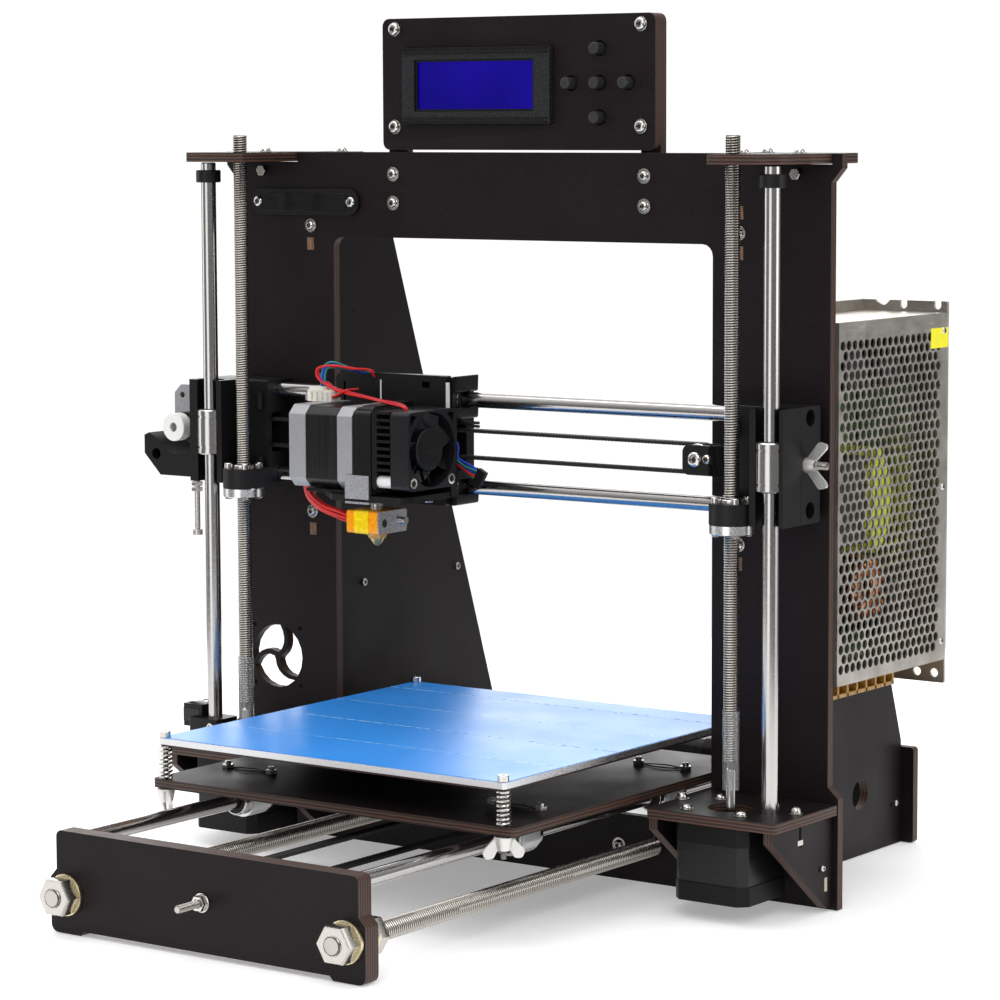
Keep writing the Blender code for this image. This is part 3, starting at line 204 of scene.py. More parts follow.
def add_floor():
    bpy.ops.mesh.primitive_circle_add(
        vertices=96, radius=FLOOR_RADIUS, fill_type="NGON", location=(0.0, 0.0, -0.0004))
    floor = bpy.context.object
    floor.name = "floor"
    pale = surface("floor", (0.86, 0.86, 0.865), 0.75, specular_ior_level=0.2,
                   emission_color=WHITE, emission_strength=0.31)
    floor.data.materials.append(pale)


# ---------------------------------------------------------------- materials

VENEER = 1.7
WAVE = 0.314


def once(make):
    """Keeps what a material function made for each first setting, and gives it again."""
    made = {}

    def fetch(*settings, **extra):
        if settings[:1] not in made:
            made[settings[:1]] = make(*settings, **extra)
        return made[settings[:1]]

    return fetch


@once
def surface(name, colour, roughness, metallic=0.0, **extra):
    """A new Principled material. Extra settings name its sockets."""
    made = bpy.data.materials.new(name)
    made.use_nodes = True
    shader = made.node_tree.nodes["Principled BSDF"]
    shader.inputs["Base Color"].default_value = (*colour, 1.0)
    shader.inputs["Roughness"].default_value = roughness
    shader.inputs["Metallic"].default_value = metallic
    for socket, value in extra.items():
        shader.inputs[socket.replace("_", " ").title().replace("Ior", "IOR")].default_value = value
    return made


def drive(made, source, socket):
    link(made, source, made.node_tree.nodes["Principled BSDF"].inputs[socket])


def grain(made, size, stretch=(1.0, 1.0, 1.0), detail=4.0, kind="ShaderNodeTexNoise"):
    """A texture whose features are about size millimetres, stretched along the axes."""
    coords = node(made, "ShaderNodeTexCoord")
    mapping = node(made, "ShaderNodeMapping", Scale=[1.0 / (size * MM * s) for s in stretch])
    texture = node(made, kind, Scale=1.0, Detail=detail)
    link(made, coords.outputs["Object"], mapping.inputs[0])
    link(made, mapping.outputs[0], texture.inputs["Vector"])
    return texture.outputs[0]


def shade(made, source, dark, light, low=0.3, high=0.7, socket="Base Color"):
    """Drives a colour between two colours."""
    ramp = node(made, "ShaderNodeValToRGB")
    for element, place, colour in zip(ramp.color_ramp.elements, (low, high), (dark, light)):
        element.position = place
        element.color = (*colour, 1.0)
    link(made, source, ramp.inputs[0])
    drive(made, ramp.outputs[0], socket)


def vary(made, source, low, high):
    """Drives the roughness between low and high."""
    spread = node(made, "ShaderNodeMapRange", To_Min=low, To_Max=high, From_Min=0.25, From_Max=0.75)
    link(made, source, spread.inputs["Value"])
    drive(made, spread.outputs[0], "Roughness")


def relief(made, source, depth, strength=1.0):
    """Bumps the surface by depth millimetres."""
    bump = node(made, "ShaderNodeBump", Strength=strength, Distance=depth * MM)
    link(made, source, bump.inputs["Height"])
    drive(made, bump.outputs[0], "Normal")


def across(axis, along, elsewhere):
    """A stretch that is one value along an axis and another elsewhere."""
    return [along if k == axis else elsewhere for k in range(3)]


@once
def film():
    """Black melamine film on the plywood, finely stippled."""
    made = surface("black_film", (0.009, 0.007, 0.0078), 0.42, specular_ior_level=0.15)
    stipple = grain(made, 0.55, detail=3.0)
    shade(made, stipple, (0.0050, 0.0033, 0.0038), (0.0145, 0.0096, 0.0108))
    vary(made, grain(made, 34.0, detail=5.0), 0.36, 0.52)
    relief(made, stipple, 0.05, 0.55)
    return made


@once
def cut_edge(axis):
    """Laser-cut plywood edge: copper-brown veneers between burnt ones, lying across the axis."""
    made = surface(f"cut_edge_{'xyz'[axis]}", (0.07, 0.035, 0.02), 0.55)
    coords = node(made, "ShaderNodeTexCoord")
    bands = node(made, "ShaderNodeTexWave", Scale=WAVE / (VENEER * MM), bands_direction="XYZ"[axis],
                 Distortion=1.1, Detail=3.0, Detail_Scale=1.2)
    link(made, coords.outputs["Object"], bands.inputs["Vector"])
    scorch = grain(made, 1.0, across(axis, 0.6, 9.0), detail=3.0)
    blend = node(made, "ShaderNodeMix", data_type="FLOAT")
    blend.inputs[0].default_value = 0.40
    link(made, bands.outputs["Fac"], blend.inputs[2])
    link(made, scorch, blend.inputs[3])
    shade(made, blend.outputs[0], (0.008, 0.0038, 0.0034), (0.088, 0.036, 0.019), 0.34, 0.74)
    vary(made, scorch, 0.42, 0.7)
    relief(made, blend.outputs[0], 0.12, 0.6)
    return made


@once
def bare_wood():
    made = surface("bare_wood", (0.16, 0.085, 0.045), 0.6)
    fibre = grain(made, 1.2, (1.0, 1.0, 4.0))
    shade(made, fibre, (0.07, 0.035, 0.018), (0.24, 0.13, 0.07))
    relief(made, fibre, 0.05)
    return made


@once
def metal(name, colour, roughness, size=0.6, stretch=(1.0, 1.0, 1.0), spread=0.08, depth=0.01):
    """Plain metal whose gloss varies in fine marks."""
    made = surface(name, colour, roughness, 1.0)
    marks = grain(made, size, stretch, detail=5.0)
    shade(made, marks, [c * 0.9 for c in colour], colour)
    vary(made, marks, max(roughness - spread, 0.04), roughness + spread)
    relief(made, marks, depth, 0.5)
    return made


@once
def plastic(name, colour, roughness=0.42, size=0.8, depth=0.03, contrast=0.3, shine=0.5):
    """Moulded plastic with a fine texture."""
    made = surface(name, colour, roughness, specular_ior_level=shine)
    texture = grain(made, size, detail=3.0)
    darker = [c * (1.0 - contrast) for c in colour]
    lighter = [min(c * (1.0 + contrast), 1.0) for c in colour]
    shade(made, texture, darker, lighter)
    vary(made, texture, roughness - 0.07, roughness + 0.07)
    relief(made, texture, depth, 0.6)
    return made


@once
def cast_aluminium():
    """Grainy cast end caps."""
    made = surface("cast_aluminium", (0.42, 0.42, 0.44), 0.48, 0.75)
    sand = grain(made, 0.32, detail=2.0)
    shade(made, sand, (0.21, 0.21, 0.22), (0.52, 0.52, 0.54), 0.34, 0.66)
    vary(made, sand, 0.38, 0.62)
    relief(made, sand, 0.05, 0.7)
    return made


@once
def laminations(axis):
    """A black painted stack of thin motor plates lying across the axis."""
    made = surface(f"laminations_{'xyz'[axis]}", (0.006, 0.006, 0.0065), 0.3, specular_ior_level=0.32)
    sheets = grain(made, 1.0, across(axis, 0.5, 60.0), detail=1.0)
    shade(made, sheets, (0.004, 0.004, 0.0043), (0.008, 0.0078, 0.008))
    vary(made, sheets, 0.26, 0.36)
    relief(made, sheets, 0.02, 0.5)
    return made


@once
def blue_tape():
    """Crepe painter's tape: cross wrinkles, faint clouds and a waxy gloss."""
    made = surface("blue_tape", (0.02, 0.26, 0.80), 0.31, specular_ior_level=0.8)
    wrinkle = grain(made, 1.0, (0.55, 2.4, 1.0), detail=3.0)
    shade(made, wrinkle, (0.014, 0.225, 0.76), (0.040, 0.33, 0.90), 0.25, 0.75)
    vary(made, grain(made, 30.0, detail=4.0), 0.31, 0.40)
    relief(made, wrinkle, 0.05, 0.5)
    return made


@once
def galvanised():
    """Zinc-dipped sheet with faint clouds and rolling marks."""
    made = surface("galvanised_sheet", (0.50, 0.47, 0.43), 0.36, 0.92)
    shade(made, grain(made, 14.0, detail=3.0), (0.40, 0.37, 0.335), (0.60, 0.57, 0.52))
    fine = grain(made, 1.2, (1.0, 4.0, 1.0), detail=6.0)
    vary(made, fine, 0.28, 0.46)
    relief(made, fine, 0.02, 0.5)
    return made


@once
def screen_glass():
    """Backlit liquid crystal behind glass: deep blue, a little brighter in the middle."""
    made = surface("screen_blue", (0.001, 0.0, 0.02), 0.2, specular_ior_level=0.2, emission_strength=1.0)
    cloud = grain(made, 45.0, detail=1.0)
    shade(made, cloud, (0.002, 0.0, 0.17), (0.006, 0.001, 0.27), socket="Emission Color")
    return made


@once
def circuit_board(name="circuit_green", colour=(0.012, 0.10, 0.045)):
    made = surface(name, colour, 0.3)
    tracks = grain(made, 3.2, detail=0.0, kind="ShaderNodeTexVoronoi")
    shade(made, tracks, colour, [c * 1.9 for c in colour], 0.35, 0.6)
    relief(made, tracks, 0.03, 0.4)
    return made


@once
def kapton(name, colour):
    made = surface(name, colour, 0.2, coat_weight=0.25, specular_ior_level=0.3)
    ripple = grain(made, 2.2, detail=2.0)
    shade(made, ripple, (colour[0] * 0.86, colour[1] * 0.68, colour[2] * 0.5), colour)
    relief(made, ripple, 0.16, 0.5)
    return made


@once
def clear_tube():
    made = surface("clear_tube", (0.93, 0.94, 0.95), 0.08, transmission_weight=0.92, ior=1.42)
    marks = grain(made, 2.0, detail=3.0)
    vary(made, marks, 0.05, 0.16)
    relief(made, marks, 0.05, 0.4)
    return made


def ground_steel(axis):
    name = f"ground_steel_{'xyz'[axis]}"
    return metal(name, (0.53, 0.515, 0.50), 0.17, 1.6, across(axis, 0.35, 1.0), 0.04, 0.002)


zinc = partial(metal, "zinc_plate", (0.60, 0.575, 0.53), 0.25, 1.1, spread=0.05, depth=0.005)
nickel = partial(metal, "nickel_plate", (0.64, 0.62, 0.585), 0.17, 0.9, spread=0.04, depth=0.004)
thread_steel = partial(metal, "thread_steel", (0.52, 0.49, 0.445), 0.27, 0.7, spread=0.06, depth=0.004)
# The near-black metal for the thread roots is painted shade in the grooves.
thread_root = partial(metal, "thread_root", (0.11, 0.10, 0.09), 0.4, 0.7, spread=0.05)
cast_zinc = partial(metal, "cast_zinc", (0.74, 0.73, 0.70), 0.43, 0.9, spread=0.06, depth=0.02)
yellow_zinc = partial(metal, "yellow_zinc", (0.72, 0.63, 0.42), 0.28, 0.9, spread=0.06)
milled_aluminium = partial(
    metal, "milled_aluminium", (0.78, 0.78, 0.80), 0.32, 0.7, (3.0, 3.0, 0.5), 0.1, 0.02)
turned_aluminium = partial(metal, "turned_aluminium", (0.80, 0.80, 0.81), 0.25)
brass = partial(metal, "brass", (0.60, 0.40, 0.15), 0.34, 0.7, spread=0.08)
copper = partial(metal, "copper_winding", (0.72, 0.30, 0.14), 0.3, 0.6, (1.0, 1.0, 0.3))

black_plastic = partial(plastic, "black_plastic", (0.0065, 0.006, 0.0065), 0.40, shine=0.24)
gloss_black = partial(plastic, "gloss_black", (0.007, 0.007, 0.0075), 0.18, 1.4, 0.008, shine=0.35)
motor_black = partial(plastic, "motor_cap_black", (0.0045, 0.0042, 0.0043), 0.42, shine=0.18)
white_plastic = partial(plastic, "white_plastic", (0.83, 0.83, 0.80), 0.36, 1.2, 0.02, 0.05)
connector_white = partial(plastic, "connector_white", (0.78, 0.76, 0.68), 0.4, 1.2, 0.02, 0.06)
amber_plastic = partial(plastic, "amber_plastic", (0.42, 0.22, 0.045), 0.3, 2.0, 0.02, 0.2)
yellow_label = partial(plastic, "yellow_label", (0.93, 0.86, 0.03), 0.4, 2.5, 0.01, 0.04)
rubber = partial(plastic, "belt_rubber", (0.012, 0.0115, 0.011), 0.62, 0.5, 0.04, shine=0.3)

slot_shadow = partial(surface, "slot_shadow", (0.004, 0.004, 0.004), 0.8, specular_ior_level=0.1)
socket_shadow = partial(surface, "socket_shadow", (0.03, 0.03, 0.03), 0.6, 0.5)

WIRES = {
    "red": (0.6, 0.02, 0.02), "blue": (0.02, 0.06, 0.5), "green": (0.02, 0.3, 0.1),
    "black": (0.02, 0.02, 0.02), "pink": (0.50, 0.012, 0.035), "teal": (0.02, 0.20, 0.22),
    "grey": (0.28, 0.28, 0.29), "cream": (0.55, 0.53, 0.47),
}


def wire(name):
    return plastic(f"{name}_insulation", WIRES[name], 0.36, 1.5, 0.015, 0.12, 0.28)


# ---------------------------------------------------------------- the machine's layout, in mm

PLY = 5.0
FRAME_TOP = 371.0
SIDE_PANEL_X = 135.0
FRONT_FACE_Y = span("front_plate")[0].y
REAR_FACE_Y = span("rear_plate")[1].y

# The belt's and the X rods' lines, the X ends' faces, and the Z screws' and rods' axes.
BELT_Y = -18.0
BELT_Z = 221.5
ROD_Y = -14.0
ROD_ZS = (244.0, 199.0)
X_INNER = 145.0
X_OUTER = 184.4
LEFT_OUTER = 187.8
Z_Y = -36.0
SCREW_X = 153.5
GUIDE_X = 175.7


# ---------------------------------------------------------------- shapes

def skin(rings, closed=False):
    """A surface through rings of equal length, capped at both ends unless it closes on itself."""
    bm = bmesh.new()
    rows = [[bm.verts.new(point) for point in ring] for ring in rings]
    count = len(rows[0])
    pairs = list(zip(rows, rows[1:]))
    if closed:
        pairs.append((rows[-1], rows[0]))
    for first, second in pairs:
        for i in range(count):
            j = (i + 1) % count
            bm.faces.new((first[i], first[j], second[j], second[i]))
    if not closed:
        bm.faces.new(rows[0])
        bm.faces.new(rows[-1])
    bmesh.ops.recalc_face_normals(bm, faces=bm.faces)
    return bm


ROUND = 2.0 * math.pi
AXES = {"X": Vector((1, 0, 0)), "Y": Vector((0, 1, 0)), "Z": Vector((0, 0, 1))}
SIDES = {"X": (AXES["Y"], AXES["Z"]), "Y": (AXES["Z"], AXES["X"]), "Z": (AXES["X"], AXES["Y"])}


def hoop(centre, axis, radius, sides, phase=0.0):
    u, v = SIDES[axis]
    angles = [phase + i * (ROUND / sides) for i in range(sides)]
    return [centre + (u * math.cos(a) + v * math.sin(a)) * radius for a in angles]


def at_zero(centre, axis):
    """A point on an axis, moved along it to zero."""
    base = Vector(centre)
    base["XYZ".index(axis)] = 0.0
    return base


def lathe(profile, centre=(0, 0, 0), axis="Z", sides=36, closed=False, phase=0.0):
    """Turns (radius, height) points about the axis through centre."""
    line = AXES[axis]
    start = Vector(centre)
    return skin([hoop(start + line * h, axis, r, sides, phase) for r, h in profile], closed)


def rod(centre, axis, ends, radius, sides=36, phase=0.0):
    return lathe([(radius, ends[0]), (radius, ends[1])], at_zero(centre, axis), axis, sides, phase=phase)


RINGS_PER_TURN = 6


def thread(centre, axis, ends, radius, pitch, depth, sides=22):
    """A threaded bar as one helicoid surface with flat ends."""
    base = at_zero(centre, axis)
    u, v = SIDES[axis]
    line = AXES[axis]
    rows = int((ends[1] - ends[0]) / pitch * RINGS_PER_TURN)
    rings = []
    for row in range(rows + 1):
        height = ends[0] + (ends[1] - ends[0]) * row / rows
        edge = min(row, rows - row, 2) / 2
        ring = []
        for i in range(sides):
            phase = (height / pitch - i / sides) % 1.0
            wave = abs(2.0 * phase - 1.0)
            r = radius - depth * wave - depth * 0.7 * (1.0 - edge)
            angle = ROUND * i / sides
            ring.append(base + line * height + (u * math.cos(angle) + v * math.sin(angle)) * r)
        rings.append(ring)
    return skin(rings)


def crests(centre, axis, radius, depth):
    """Gives a thread's faces bright crests over roots darkened by painted shade."""
    bright, dark = thread_steel(), thread_root()
    line = AXES[axis]
    base = Vector(centre)

    def choose(face):
        offset = face.calc_center_median() - base
        reach = (offset - line * offset.dot(line)).length
        rooted = reach < radius - depth * 0.6 and abs(face.normal.dot(line)) < 0.95
        return dark if rooted else bright

    return choose


def box(x, y, z):
    """A block between two ends along each axis."""
    bm = bmesh.new()
    bmesh.ops.create_cube(bm, size=1.0)
    bmesh.ops.scale(bm, vec=(x[1] - x[0], y[1] - y[0], z[1] - z[0]), verts=bm.verts)
    bmesh.ops.translate(bm, vec=((x[0] + x[1]) / 2, (y[0] + y[1]) / 2, (z[0] + z[1]) / 2), verts=bm.verts)
    return bm


def circle(u, v, radius, sides=24):
    step = ROUND / sides
    return [(u + radius * math.cos(i * step), v + radius * math.sin(i * step)) for i in range(sides)]


def rounded(corners, steps=5):
    """An outline from (u, v, radius) corners, each turned into an arc of its radius."""
    outline = []
    count = len(corners)
    for index, (u, v, radius) in enumerate(corners):
        here = Vector((u, v))
        if radius <= 0.0:
            outline.append((u, v))
            continue
        back = (Vector(corners[index - 1][:2]) - here).normalized()
        ahead = (Vector(corners[(index + 1) % count][:2]) - here).normalized()
        half = back.angle(ahead) / 2.0
        centre = here + (back + ahead).normalized() * (radius / math.sin(half))
        first = here + back * (radius / math.tan(half)) - centre
        last = here + ahead * (radius / math.tan(half)) - centre
        turn = math.atan2(first.x * last.y - first.y * last.x, first.dot(last))
        start = math.atan2(first.y, first.x)
        for step in range(steps + 1):
            angle = start + turn * step / steps
            outline.append((centre.x + radius * math.cos(angle), centre.y + radius * math.sin(angle)))
    return outline


def rectangle(u, v, radius=0.0):
    return rounded([(u[0], v[0], radius), (u[1], v[0], radius), (u[1], v[1], radius), (u[0], v[1], radius)])


PLANES = {
    "XY": Matrix.Identity(4),
    "XZ": Matrix.Rotation(math.radians(90.0), 4, "X"),
    "YZ": Matrix(((0, 0, 1, 0), (1, 0, 0, 0), (0, 1, 0, 0), (0, 0, 0, 1))),
}


def prism(plane, ends, outline, holes=()):
    """A flat outline with holes, in the named plane, between two heights."""
    curve = bpy.data.curves.new("outline", "CURVE")
    curve.dimensions = "2D"
    curve.fill_mode = "BOTH"
    curve.extrude = (ends[1] - ends[0]) / 2.0
    for ring in (outline, *holes):
        spline = curve.splines.new("POLY")
        spline.points.add(len(ring) - 1)
        for point, (u, v) in zip(spline.points, ring):
            point.co = (u, v, 0.0, 1.0)
        spline.use_cyclic_u = True
    drawing = bpy.data.objects.new("outline", curve)
    bpy.context.scene.collection.objects.link(drawing)
    bpy.context.view_layer.update()
    evaluated = drawing.evaluated_get(bpy.context.evaluated_depsgraph_get())
    mesh = bpy.data.meshes.new_from_object(evaluated)
    bpy.data.objects.remove(drawing, do_unlink=True)
    bm = bmesh.new()
    bm.from_mesh(mesh)
    bpy.data.meshes.remove(mesh)
    bmesh.ops.remove_doubles(bm, verts=bm.verts, dist=0.004)
    bmesh.ops.dissolve_limit(bm, angle_limit=0.01, verts=bm.verts, edges=bm.edges)
    normal = {"XY": AXES["Z"], "XZ": AXES["Y"], "YZ": AXES["X"]}[plane]
    move = Matrix.Translation(normal * ((ends[0] + ends[1]) / 2.0)) @ PLANES[plane]
    bmesh.ops.transform(bm, matrix=move, verts=bm.verts)
    bmesh.ops.recalc_face_normals(bm, faces=bm.faces)
    return bm


def smooth_path(points, per_span=6):
    """Catmull-Rom points through the given route."""
    route = [Vector(point) for point in points]
    route = [route[0] * 2.0 - route[1], *route, route[-1] * 2.0 - route[-2]]
    path = []
    for a, b, c, d in zip(route, route[1:], route[2:], route[3:]):
        for step in range(per_span):
            t = step / per_span
            path.append(0.5 * (
                2.0 * b + (c - a) * t + (2.0 * a - 5.0 * b + 4.0 * c - d) * t ** 2
                + (3.0 * b - a - 3.0 * c + d) * t ** 3
            ))
    path.append(route[-2])
    return path


def sweep(path, radius, sides=10):
    """A round section carried along a path without twisting."""
    points = [Vector(p) for p in path]
    side = None
    rings = []
    for index, point in enumerate(points):
        ahead = points[min(index + 1, len(points) - 1)] - points[max(index - 1, 0)]
        ahead.normalize()
        if side is None:
            side = ahead.orthogonal().normalized()
        side = (side - ahead * side.dot(ahead)).normalized()
        other = ahead.cross(side)
        step = ROUND / sides
        rings.append([
            point + (side * math.cos(i * step) + other * math.sin(i * step)) * radius for i in range(sides)
        ])
    return skin(rings)


def cad(name):
    """A CAD node's shape on the grid, with its flat faces whole again."""
    bm = bmesh.new()
    bm.from_mesh(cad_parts[name].data)
    bmesh.ops.transform(bm, matrix=TO_GRID, verts=bm.verts)
    bmesh.ops.remove_doubles(bm, verts=bm.verts, dist=0.01)
    bmesh.ops.dissolve_limit(bm, angle_limit=0.01, verts=bm.verts, edges=bm.edges)
    return bm


class Piece:
    """One visible object, gathered from shapes that each bring a material."""

    def __init__(self, name, body, slot, replaces=()):
        self.name = name
        self.body = body
        self.slot = slot
        self.replaces = replaces
        self.bm = bmesh.new()
        self.materials = []

    def index(self, material):
        if material not in self.materials:
            self.materials.append(material)
        return self.materials.index(material)

    def add(self, shape, material, turn=None):
        """Takes in a shape. material is one material, or a function from a face to one."""
        if turn is not None:
            bmesh.ops.transform(shape, matrix=turn, verts=shape.verts)
        for face in shape.faces:
            chosen = material(face) if callable(material) else material
            face.material_index = self.index(chosen)
        scratch = bpy.data.meshes.new("scratch")
        shape.to_mesh(scratch)
        shape.free()
        self.bm.from_mesh(scratch)
        bpy.data.meshes.remove(scratch)
        return self

    def boxes(self, material, *blocks):
        """Takes in blocks of one material, each from its x, y and z ends."""
        for block in blocks:
            self.add(box(*block), material)

    def screw_thread(self, centre, axis, ends, radius, pitch, depth, sides):
        """Takes in a threaded bar with bright crests over roots darkened by painted shade."""
        bar = thread(centre, axis, ends, radius, pitch, depth, sides)
        self.add(bar, crests(centre, axis, radius, depth))

    def done(self, bevel=0.0, angle=35.0, segments=2):
        """Makes the object, with its edges rounded by bevel, and hangs it on its body."""
        bmesh.ops.transform(self.bm, matrix=TO_ROW, verts=self.bm.verts)
        mesh = bpy.data.meshes.new(self.name)
        self.bm.to_mesh(mesh)
        self.bm.free()
        for material in self.materials:
            mesh.materials.append(material)
        item = bpy.data.objects.new(self.name, mesh)
        bpy.context.scene.collection.objects.link(item)
        if bevel > 0.0:
            edge = item.modifiers.new("edges", "BEVEL")
            edge.width = bevel * MM
            edge.segments = segments
            edge.limit_method = "ANGLE"
            edge.angle_limit = math.radians(angle)
            edge.harden_normals = True
        mesh.shade_smooth()
        mesh.set_sharp_from_angle(angle=math.radians(angle))
        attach(item, self.body)
        if self.replaces:
            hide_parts(*self.replaces)
        return item


# ---------------------------------------------------------------- fasteners

def facing(point, direction):
    """Carries a shape built up +Z at the origin to a point, facing a direction."""
    turn = Vector(direction).to_track_quat("Z", "Y").to_matrix().to_4x4()
    return Matrix.Translation(Vector(point)) @ turn


def button_head(piece, point, direction, radius=2.8, height=1.7, washer=0.0):
    """A domed machine screw with a hexagon socket, and a washer under it if it has one."""
    lift = 0.0
    place = facing(point, direction)
    if washer > 0.0:
        lift = 0.5
        hole = radius * 0.5
        ring = [(hole, 0.0), (washer, 0.0), (washer, lift), (hole, lift)]
        piece.add(lathe(ring, sides=28, closed=True), nickel(), place)
    dome = [
        (radius, lift), (radius, lift + height * 0.3), (radius * 0.88, lift + height * 0.72),
        (radius * 0.62, lift + height), (radius * 0.42, lift + height),
        (radius * 0.40, lift + height * 0.35),
    ]
    piece.add(lathe(dome, sides=24), nickel(), place)
    dark = lathe([(radius * 0.38, lift + height * 0.3), (radius * 0.38, lift + height * 0.5)], sides=6)
    piece.add(dark, socket_shadow(), place)


def cap_head(piece, point, direction, radius=2.75, height=3.0, material=None):
    """A cylindrical socket-head screw."""
    side = material or nickel()
    place = facing(point, direction)
    profile = [
        (radius, 0.0), (radius, height - 0.3), (radius - 0.3, height),
        (radius * 0.52, height), (radius * 0.5, height * 0.5),
    ]
    piece.add(lathe(profile, sides=24), side, place)
    dark = lathe([(radius * 0.48, height * 0.45), (radius * 0.48, height * 0.52)], sides=6)
    piece.add(dark, socket_shadow(), place)


def nut(piece, point, direction, flats, height, bore=0.0, material=None):
    """A hexagon nut with chamfered corners."""
    corner = flats / 2.0 / math.cos(math.radians(30.0))
    material = material or zinc()
    place = facing(point, direction)
    chamfer = height * 0.12
    profile = [(corner * 0.93, 0.0), (corner, chamfer), (corner, height - chamfer), (corner * 0.93, height)]
    if bore > 0.0:
        profile += [(bore + 0.4, height), (bore, height - 0.5), (bore, 0.5), (bore + 0.4, 0.0)]
    piece.add(lathe(profile, sides=6, closed=bore > 0.0), material, place)


def washer(piece, point, direction, inner, outer, height, material=None):
    profile = [(inner, 0.0), (outer, 0.0), (outer, height), (inner, height)]
    piece.add(lathe(profile, sides=36, closed=True), material or zinc(), facing(point, direction))


def wing_nut(piece, point, direction, spin, scale, reach=8.4, rise=10.2, breadth=3.6):
    """A cast wing nut: a turned hub and two leaf-shaped wings that lean outwards."""
    place = facing(point, direction) @ Matrix.Rotation(math.radians(spin), 4, "Z") @ Matrix.Scale(scale, 4)
    hub = [(4.3, 0.0), (4.3, 1.0), (3.2, 6.2), (2.0, 6.2), (1.8, 0.3)]
    piece.add(lathe(hub, sides=28), cast_zinc(), place)
    wing = rounded([
        (breadth * 0.3, 0.0, 0.0), (breadth, 0.0, 0.6), (reach + 1.6, rise * 0.62, 2.0),
        (reach, rise, breadth * 0.58), (reach - breadth, rise * 0.94, breadth * 0.5),
        (breadth * 0.45, rise * 0.36, 1.2),
    ])
    for way in (0.0, 180.0):
        turn = place @ Matrix.Rotation(math.radians(way), 4, "Z")
        piece.add(prism("XZ", (-0.95, 0.95), wing), cast_zinc(), turn)


# ---------------------------------------------------------------- plywood


def plywood(axis):
    """Film on the two broad faces and burnt veneers on the cut ones."""
    broad = film()
    cut = cut_edge(axis)

    def choose(face):
        return broad if abs(face.normal[axis]) > 0.7 else cut

    return choose


def ply_piece(name, axis):
    return Piece(f"{name}_wood", "frame", "plywood", (name,)).add(cad(name), plywood(axis))


def tenon(piece, x, y, z, size):
    """The end of another panel's tab showing in its slot, just proud of the film."""
    piece.add(box(*[(c - s / 2.0, c + s / 2.0) for c, s in zip((x, y, z), size)]), bare_wood())


def upright():
    piece = ply_piece("gantry_frame", 1)
    for x in (-SIDE_PANEL_X, SIDE_PANEL_X):
        for z in (322.0, 341.9, 168.0, 187.0):
            tenon(piece, x, 0.0, z, (4.6, 0.5, 6.6))
    piece.done(0.25)
    screws = Piece("upright_screws", "frame", "zinc_steel")
    for x, z in ((-134.8, 331.8), (-135.3, 177.5), (135.0, 331.8), (135.3, 177.5)):
        button_head(screws, (x, 0.0, z), (0, -1, 0), 2.7, 1.8, 3.6)
    for x, z in ((64.0, 17.7), (106.0, 16.3), (-64.0, 17.7), (-106.0, 16.3)):
        button_head(screws, (x, 0.0, z), (0, -1, 0), 2.7, 1.8, 3.9)
    for side in (-1, 1):
        for z in (359.4, 344.3):
            button_head(screws, (side * 79.0, 0.0, z), (0, -1, 0), 2.8, 1.9, 3.8)
            nut(screws, (side * 79.0, 10.3, z), (0, 1, 0), 5.5, 2.4)
    screws.done(0.12)
    badge = Piece("blank_badge", "frame", "black_plastic")
    left, right, low, high = -173.4, -100.8, 337.3, 351.3
    badge.add(prism("XZ", (-2.4, 0.0), rectangle((left, right), (low, high), 6.9)), black_plastic())
    field = rectangle((left + 8.5, right - 8.5), (low + 2.2, high - 2.2), 1.5)
    badge.add(prism("XZ", (-2.8, -2.3), field), gloss_black())
    for x in (-169.0, -105.7):
        button_head(badge, (x, -2.4, 344.5), (0, -1, 0), 2.9, 1.6)
    badge.done(0.35)


def side_panels():
    for _, name in HANDS:
        ply_piece(f"{name}_side_panel", 0).done(0.25)
    screws = Piece("side_panel_screws", "frame", "zinc_steel")
    for y, z in ((39.9, 134.7), (126.3, 134.5)):
        cap_head(screws, (-132.5, y, z), (1, 0, 0), 2.1, 1.9)
    screws.add(box((137.3, 137.55), (150.6, 157.4), (20.9, 23.1)), slot_shadow())
    button_head(screws, (137.5, 157.6, 22.0), (1, 0, 0), 1.8, 1.3)
    screws.done(0.1)


def base_plates():
    ply_piece("front_plate", 1).done(0.25)
    rear = ply_piece("rear_plate", 1)
    for side in (-1, 1):
        for z in (14.0, 38.0):
            tenon(rear, side * SIDE_PANEL_X, REAR_FACE_Y, z, (4.7, 0.5, 7.0))
    rear.done(0.25)
    screws = Piece("rear_plate_screws", "frame", "zinc_steel")
    for side in (-1, 1):
        button_head(screws, (side * SIDE_PANEL_X, REAR_FACE_Y, 26.0), (0, 1, 0), 2.7, 1.7, 3.6)
        button_head(screws, (-17.0 + side * 4.0 + 4.0, REAR_FACE_Y, 31.0 + side * 9.0), (0, 1, 0), 2.5, 1.6)
    screws.done(0.1)


def top_plates():
    for side, name in HANDS:
        piece = ply_piece(f"{name}_top_plate", 2)
        tenon(piece, side * SIDE_PANEL_X, 15.0, FRAME_TOP, (4.6, 7.5, 0.5))
        piece.done(0.25)
        screws = Piece(f"{name}_top_screws", "frame", "zinc_steel")
        for x, y in ((167.5, 2.5), (134.5, 27.0), (149.5, -20.0)):
            button_head(screws, (side * x, y, FRAME_TOP), (0, 0, 1), 2.6, 1.8, 3.4)
        nut(screws, (side * 167.5, -0.5, 361.0), (0, -1, 0), 5.4, 2.0)
        screws.done(0.1)


